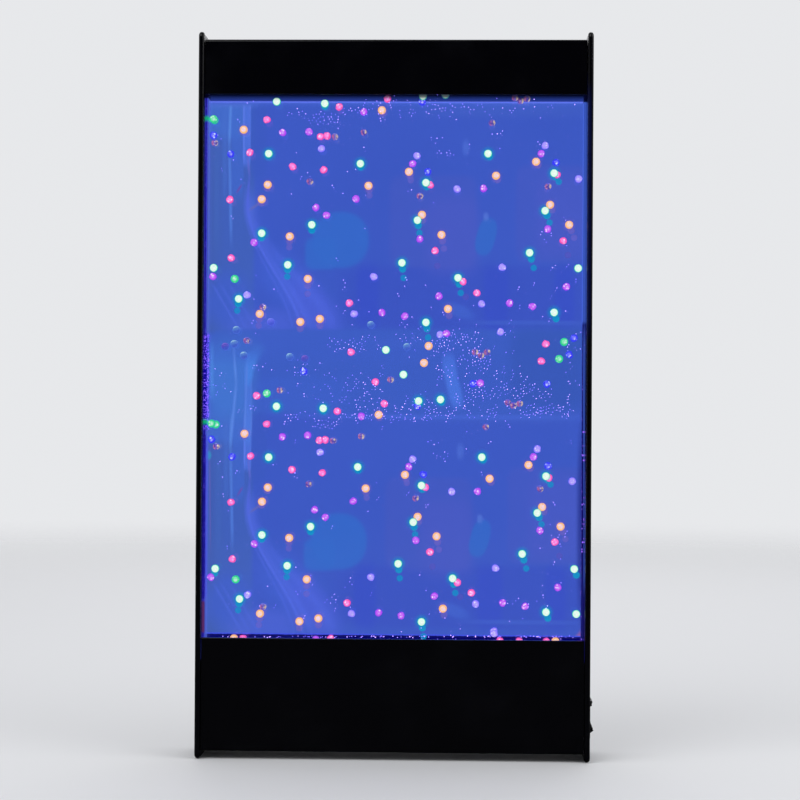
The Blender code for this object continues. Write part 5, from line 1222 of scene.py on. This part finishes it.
def placing(place, turns=(0.0, 0.0, 0.0), size=1.0):
    """The matrix that turns and sizes a model and puts it at its place."""
    about_x, about_y, about_z = (Matrix.Rotation(turn, 4, axis) for turn, axis in zip(turns, "XYZ"))
    return Matrix.Translation(place) @ (about_z @ about_y @ about_x) @ Matrix.Scale(size, 4)


def bead_places():
    """The colour and place of each bead. Where beads cross in the photograph, one goes behind the other."""
    taken = [middle_of(name) for names in FLOOR_BEADS.values() for name in names]
    wanted = []
    for kind, pixels in UPPER_BEADS.items():
        wanted += [(kind, where(pixel)) for where in (as_shown, lower) for pixel in pixels]
    for kind, pixels in MIDDLE_BEADS.items():
        wanted += [(kind, pixel) for pixel in pixels]
    reach = BEAD_RADIUS + GAP
    front = LIQUID_FRONT + reach
    back = LIQUID_BACK - reach
    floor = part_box("bead_screen")[1].z + reach
    found = []
    for kind, pixel in wanted:
        best = None
        for depth in (front, (front + back) / 2, back):
            place = at_pixel(pixel, depth)
            place.x = min(max(place.x, WALL_LEFT + reach), WALL_RIGHT - reach)
            place.z = max(place.z, floor)
            room = min([(place - other).length for other in taken] + [1.0])
            if best is None or room > best[0]:
                best = (room, place)
            if room > 2 * BEAD_RADIUS + GAP:
                break
        taken.append(best[1])
        found.append((kind, best[1]))
    return found


def make_beads():
    """All beads, one piece for each colour."""
    chance = random.Random(BEAD_SEED)
    models = {"round": model_round_bead(), "lumpy": model_lumpy_bead()}
    found = bead_places()
    for kind in [*BEAD_COLOURS, *FAR_BEADS, "clear"]:
        if kind == "clear":
            material, size = clear_bead_finish(), CLEAR_SIZE
        elif kind in FAR_BEADS:
            material, size = far_bead_finish(kind), FAR_SIZE
        else:
            material, size = bead_finish(kind), 1.0
        lumpy = kind in LUMPY_KINDS
        solids = FLOOR_BEADS.get(kind, ())
        places = [place for colour, place in found if colour == kind] + [middle_of(name) for name in solids]
        turned = []
        for place in places:
            turns = [chance.uniform(0, math.tau) for _ in range(3)] if lumpy else (0.0, 0.0, 0.0)
            turned.append(placing(place, turns, size))
        piece = copies(models["lumpy" if lumpy else "round"], f"beads_{kind}", turned, material)
        if solids:
            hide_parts(*solids)
    for model in models.values():
        bpy.data.objects.remove(model)


def model_reflection_disc():
    """A disc for a bead's painted reflection in the back sheet, a little domed."""
    deselect()
    bpy.ops.mesh.primitive_circle_add(vertices=ECHO_SIDES, radius=BEAD_RADIUS, fill_type="NGON",
                                      calc_uvs=True, rotation=(math.pi / 2, 0, 0))
    disc = name_it("one_reflection_disc")
    settle()
    edit_all()
    bpy.ops.mesh.inset(thickness=BEAD_RADIUS * ECHO_RIM)
    bpy.ops.transform.translate(value=(0, -GAP / 3, 0))
    leave_edit()
    bpy.ops.object.shade_smooth()
    return disc


def echo_pixel(bead, share):
    """Where the image of a bead shows, a share of the whole step below and outward of it."""
    step_x = (bead[0] - ECHO_FROM[0]) * ECHO_GROWTH[0]
    step_y = ECHO_DROP[0] + (bead[1] - ECHO_FROM[1]) * ECHO_GROWTH[1]
    step_y = min(max(step_y, ECHO_DROP[0]), ECHO_DROP[1])
    step_y *= ECHO_LEFT[1] if bead[0] < ECHO_LEFT[0] else 1.0
    return bead[0] + share * step_x, bead[1] + share * step_y


def make_painted_reflections():
    """The painted reflections of the bright beads in the tank's back sheet, and the painted glow round the
    green and orange ones, each kind at its own depth.
    """
    model = model_reflection_disc()
    first_depth, depth_step = ECHO_DEPTHS
    layer = 0
    for kind, looks in PAINTED_REFLECTIONS.items():
        for part, colour, strength, size, share in looks:
            layer += 1
            depth = LIQUID_BACK - GAP * (first_depth + depth_step * layer)
            reach = BEAD_RADIUS * size
            beads = FAR_ECHOES[kind] if part == "far" else UPPER_BEADS[kind]
            made = []
            for where in (as_shown, lower):
                for bead in beads:
                    place = at_pixel(where(echo_pixel(bead, share)), depth)
                    if place.z + reach < GLOW_HIGH and WALL_LEFT + reach < place.x < WALL_RIGHT - reach:
                        made.append(placing(place, size=size))
            copies(model, f"{part}_echoes_{kind}", made, painted_reflection_finish(f"{part}_echo_{kind}", colour, strength))
    bpy.data.objects.remove(model)


def bubble_placings(clusters, chance, where):
    """Bubbles in loose clusters, each clear of the others. Almost half have a smaller one beside them."""
    made = []
    taken = []
    for middle_x, middle_y, spread_x, spread_y, count in clusters:
        for _ in range(count):
            pixel = (middle_x + chance.uniform(-1, 1) * spread_x, middle_y + chance.gauss(0, 0.6) * spread_y)
            size = chance.uniform(0.75, 1.1)
            steps = [(0, 0, size)]
            if chance.random() < PAIR_SHARE:
                steps.append((chance.uniform(-2.4, 2.4), chance.uniform(2.3, 2.8), size * 0.85))
            for step_x, step_y, part in steps:
                spot = Vector((pixel[0] + step_x, pixel[1] + step_y))
                if any((spot - other).length < BUBBLE_SPACING for other in taken):
                    continue
                place = at_pixel(where(spot), LIQUID_FRONT + BUBBLE_RADIUS)
                if WALL_LEFT + GAP < place.x < WALL_RIGHT - GAP:
                    taken.append(spot)
                    made.append(placing(place, size=part))
    return made


def make_bubbles():
    """The bubbles on the front sheet and along the tank's floor and left wall."""
    chance = random.Random(BUBBLE_SEED)
    model = model_bubble()
    material = bubble_finish("bubble_glint", (126, 106, 252, 2.4), (180, 146, 255, 4.2))
    made = bubble_placings(UPPER_BUBBLES, chance, as_shown)
    made += bubble_placings(UPPER_BUBBLES, chance, lower)
    made += bubble_placings(MIDDLE_BUBBLES, chance, as_shown)
    copies(model, "sheet_bubbles", made, material)
    edge = []
    for _ in range(FLOOR_BUBBLES):
        pixel = (chance.uniform(*FLOOR_BUBBLE_COLUMNS), chance.uniform(*FLOOR_BUBBLE_ROWS))
        edge.append(placing(at_pixel(pixel, LIQUID_BACK - BUBBLE_RADIUS), size=chance.uniform(0.8, 1.3)))
    copies(model, "floor_bubbles", edge, material)
    wall = []
    for _ in range(WALL_BUBBLES):
        depth = chance.uniform(LIQUID_FRONT + BUBBLE_RADIUS, LIQUID_BACK - BUBBLE_RADIUS)
        high, low = (height_of(row, depth, WALL_BUBBLE_COLUMN) for row in WALL_BUBBLE_ROWS)
        place = Vector((WALL_LEFT + BUBBLE_RADIUS, depth, chance.uniform(low, high)))
        wall.append(placing(place, size=chance.uniform(0.6, 1.1)))
    copies(model, "wall_bubbles", wall,
           bubble_finish("wall_bubble_glint", (104, 78, 250, 1.2), (144, 106, 255, 1.6)))
    bpy.data.objects.remove(model)


# The black sheets, the switch and the back


def make_sheets(material):
    """The covers with their edges broken, and the side plates with smooth round edges."""
    for name, node, body in (("top_cover_sheet", "top_cover", "cover"),
                             ("bottom_cover_sheet", "bottom_cover", "panel")):
        sheet = whole_copy(name, node)
        break_edges(sheet, SHEET_EDGE)
        stand_in(sheet, material, body, "gloss_black", node)
    for name, node in (("left_plate_sheet", "left_side_plate"), ("right_plate_sheet", "right_side_plate")):
        plate = whole_copy(name, node)
        smooth(plate)
        stand_in(plate, material, "panel", "gloss_black", node)


def make_bezel():
    """The switch's body, with the edges of its flange and its well broken."""
    bezel = whole_copy("switch_bezel", "switch_housing")
    break_edges(bezel, BEZEL_EDGE)
    stand_in(bezel, moulded("switch_plastic", (0.012, 0.012, 0.013), 0.42, 1100.0), "panel", "switch_black",
             "switch_housing")


def make_paddle():
    """The rocker's paddle: a hollow face with a raised pad, soft edges and ribs for the finger."""
    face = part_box("right_side_plate")[1].x
    middle = Vector((face, middle_of("switch_rocker").y, middle_of("switch_housing").z))
    deselect()
    bpy.ops.mesh.primitive_grid_add(x_subdivisions=len(PADDLE_LINES) - 1, y_subdivisions=2, size=PADDLE_WIDTH,
                                    location=middle, rotation=(0, -math.pi / 2, 0))
    paddle = name_it("switch_paddle")
    settle()
    lines = sorted({round(vertex.co.z, 6) for vertex in paddle.data.vertices})
    rows = [[vertex.index for vertex in paddle.data.vertices if abs(vertex.co.z - height) < MERGE_REACH]
            for height in lines]
    for height, row, (along, out) in zip(lines, rows, PADDLE_LINES):
        edit_some(paddle, "vertices", lambda vertex: vertex.index in row)
        bpy.ops.transform.translate(value=(out / MM_IN_METRE, 0, middle.z + along / MM_IN_METRE - height))
        leave_edit()
    pick(paddle)
    edit_all()
    bpy.ops.mesh.normals_make_consistent(inside=False)
    leave_edit()
    if sum(polygon.normal.x for polygon in paddle.data.polygons) < 0:
        paddle.data.flip_normals()
    for count in RIB_LINES:
        low_z, high_z = (middle.z + PADDLE_LINES[line][0] / MM_IN_METRE for line in (count, count + 1))
        edit_some(paddle, "polygons", lambda polygon: low_z < polygon.center.z < high_z)
        bpy.ops.mesh.inset(thickness=RIB_RISE, depth=RIB_RISE)
        leave_edit()
    modify(paddle, "SOLIDIFY", thickness=PADDLE_DEPTH, offset=-1.0)
    break_edges(paddle, PADDLE_EDGE, SMALL_PART_ANGLE)
    stand_in(paddle, moulded("paddle_plastic", (0.013, 0.013, 0.014), 0.28, 1600.0, 0.00002), "rocker",
             "rocker_black", "switch_rocker")


def model_tray_screw():
    """A countersunk screw with a cross recess, its head towards +Y."""
    deselect()
    bpy.ops.mesh.primitive_cylinder_add(vertices=SCREW_SIDES, radius=SCREW_HEAD, depth=SCREW_LENGTH,
                                        location=(0, -SCREW_LENGTH / 2, 0), rotation=(-math.pi / 2, 0, 0))
    screw = name_it("tray_screw")
    settle()
    edit_some(screw, "polygons", lambda polygon: polygon.normal.y < -0.9)
    bpy.ops.transform.resize(value=(SCREW_TAPER, 1.0, SCREW_TAPER))
    leave_edit()
    for turn in (0.0, math.pi / 2):
        deselect()
        bpy.ops.mesh.primitive_cube_add(size=1.0, rotation=(0, turn, 0))
        blade = name_it("cross_blade")
        blade.dimensions = (2 * CROSS_REACH, 2 * CROSS_DEPTH, CROSS_WIDTH)
        settle()
        cut(screw, blade)
    break_edges(screw, CROSS_WIDTH / 8, SMALL_PART_ANGLE)
    return screw


def make_back():
    """The back sheet with its edges broken, and the screws that hold the light tray sunk in it."""
    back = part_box("rear_panel")[1].y
    places = [Vector((side * SCREW_ASIDE, back, row)) for row in SCREW_ROWS for side in (-1, 1)]
    sheet = whole_copy("back_sheet", "rear_panel")
    for place in places:
        deselect()
        bpy.ops.mesh.primitive_cylinder_add(vertices=SCREW_SIDES, radius=SCREW_HEAD + SCREW_SINK,
                                            depth=2 * (SCREW_LENGTH + SCREW_SINK), location=place,
                                            rotation=(math.pi / 2, 0, 0))
        hole = name_it("screw_hole")
        settle()
        cut(sheet, hole)
    break_edges(sheet, SCREW_SINK)
    stand_in(sheet, satin_black(), "panel", "satin_black", "rear_panel")
    model = model_tray_screw()
    sunk = [placing(place - Vector((0, SCREW_SINK, 0)), (0.0, SCREW_TURN * count, 0.0))
            for count, place in enumerate(places)]
    screws = copies(model, "tray_screws", sunk, SOLIDS["hanger_left"].data.materials[0])
    bpy.data.objects.remove(model)


# The floor, the light and the camera


def make_floor():
    """A plain pale floor that fades out far from the panel."""
    deselect()
    bpy.ops.mesh.primitive_circle_add(vertices=FLOOR_SIDES, radius=FLOOR_REACH, fill_type="NGON",
                                      location=(0, 0, FLOOR_Z - GAP))
    floor = name_it("floor")
    settle()
    material, shader, spots = finish("pale_floor", PALE, 0.7)
    x, y, _ = split(spots["Object"])
    mirrored = add(shader.id_data, "ShaderNodeLightPath").outputs["Is Glossy Ray"]
    feed(shader, {"Alpha": ramp(distance(x, y), FLOOR_FADE[1], FLOOR_FADE[0]), "Specular IOR Level": 0.2,
                  "Base Color": blend(mirrored, (*PALE, 1), FLOOR_IN_MIRROR)})
    coat(floor, material)


def make_room():
    """The room's light: pale behind the panel and at its sides, dim in front of it."""
    world = bpy.data.worlds.new("room")
    bpy.context.scene.world = world
    world.use_nodes = True
    tree = world.node_tree
    rays = add(tree, "ShaderNodeLightPath").outputs
    _, ahead, up = split(add(tree, "ShaderNodeTexCoord").outputs["Generated"])
    front = ramp(minus(ahead, times(up, 0.3)), 0.15, -0.85)
    mirrored = blend(front, (SIDE_IN_MIRROR, SIDE_IN_MIRROR, SIDE_IN_MIRROR * 1.05, 1),
                     (FRONT_IN_MIRROR, FRONT_IN_MIRROR, FRONT_IN_MIRROR * 1.8, 1))
    bounced = calc("MAXIMUM", rays["Is Glossy Ray"], rays["Is Transmission Ray"])
    seen = blend(bounced, (ROOM_LIGHT, ROOM_LIGHT, ROOM_LIGHT * 1.02, 1), mirrored)
    feed(tree.nodes["Background"], {"Color": blend(rays["Is Camera Ray"], seen, (*PALE, 1)), "Strength": 1.0})


def make_softboxes():
    """Soft lamps above the panel."""
    for name, place, size, power in SOFTBOXES:
        lamp = bpy.data.lights.new(name, "AREA")
        lamp.shape = "SQUARE"
        lamp.size = size
        lamp.energy = power
        item = bpy.data.objects.new(name, lamp)
        item.location = place
        item.rotation_euler = (-Vector(place)).to_track_quat("-Z", "Y").to_euler()
        bpy.context.scene.collection.objects.link(item)


def make_camera():
    """The photograph's camera."""
    data = bpy.data.cameras.new("camera")
    data.sensor_fit = "HORIZONTAL"
    data.sensor_width = SENSOR_MM
    data.lens = SENSOR_MM * FOCAL_PIXELS / FRAME_PIXELS
    data.clip_start = NEAREST
    camera = bpy.data.objects.new("camera", data)
    right, up, ahead = view_axes()
    camera.matrix_world = Matrix.Translation(EYE) @ Matrix((right, up, -ahead)).transposed().to_4x4()
    bpy.context.scene.collection.objects.link(camera)
    bpy.context.scene.camera = camera


make_camera()
make_floor()
make_room()
make_softboxes()
dress_solids()
make_sheets(gloss_black())
make_bezel()
make_paddle()
make_back()
make_beads()
make_painted_reflections()
make_bubbles()

bpy.context.scene.view_settings.view_transform = "Standard"
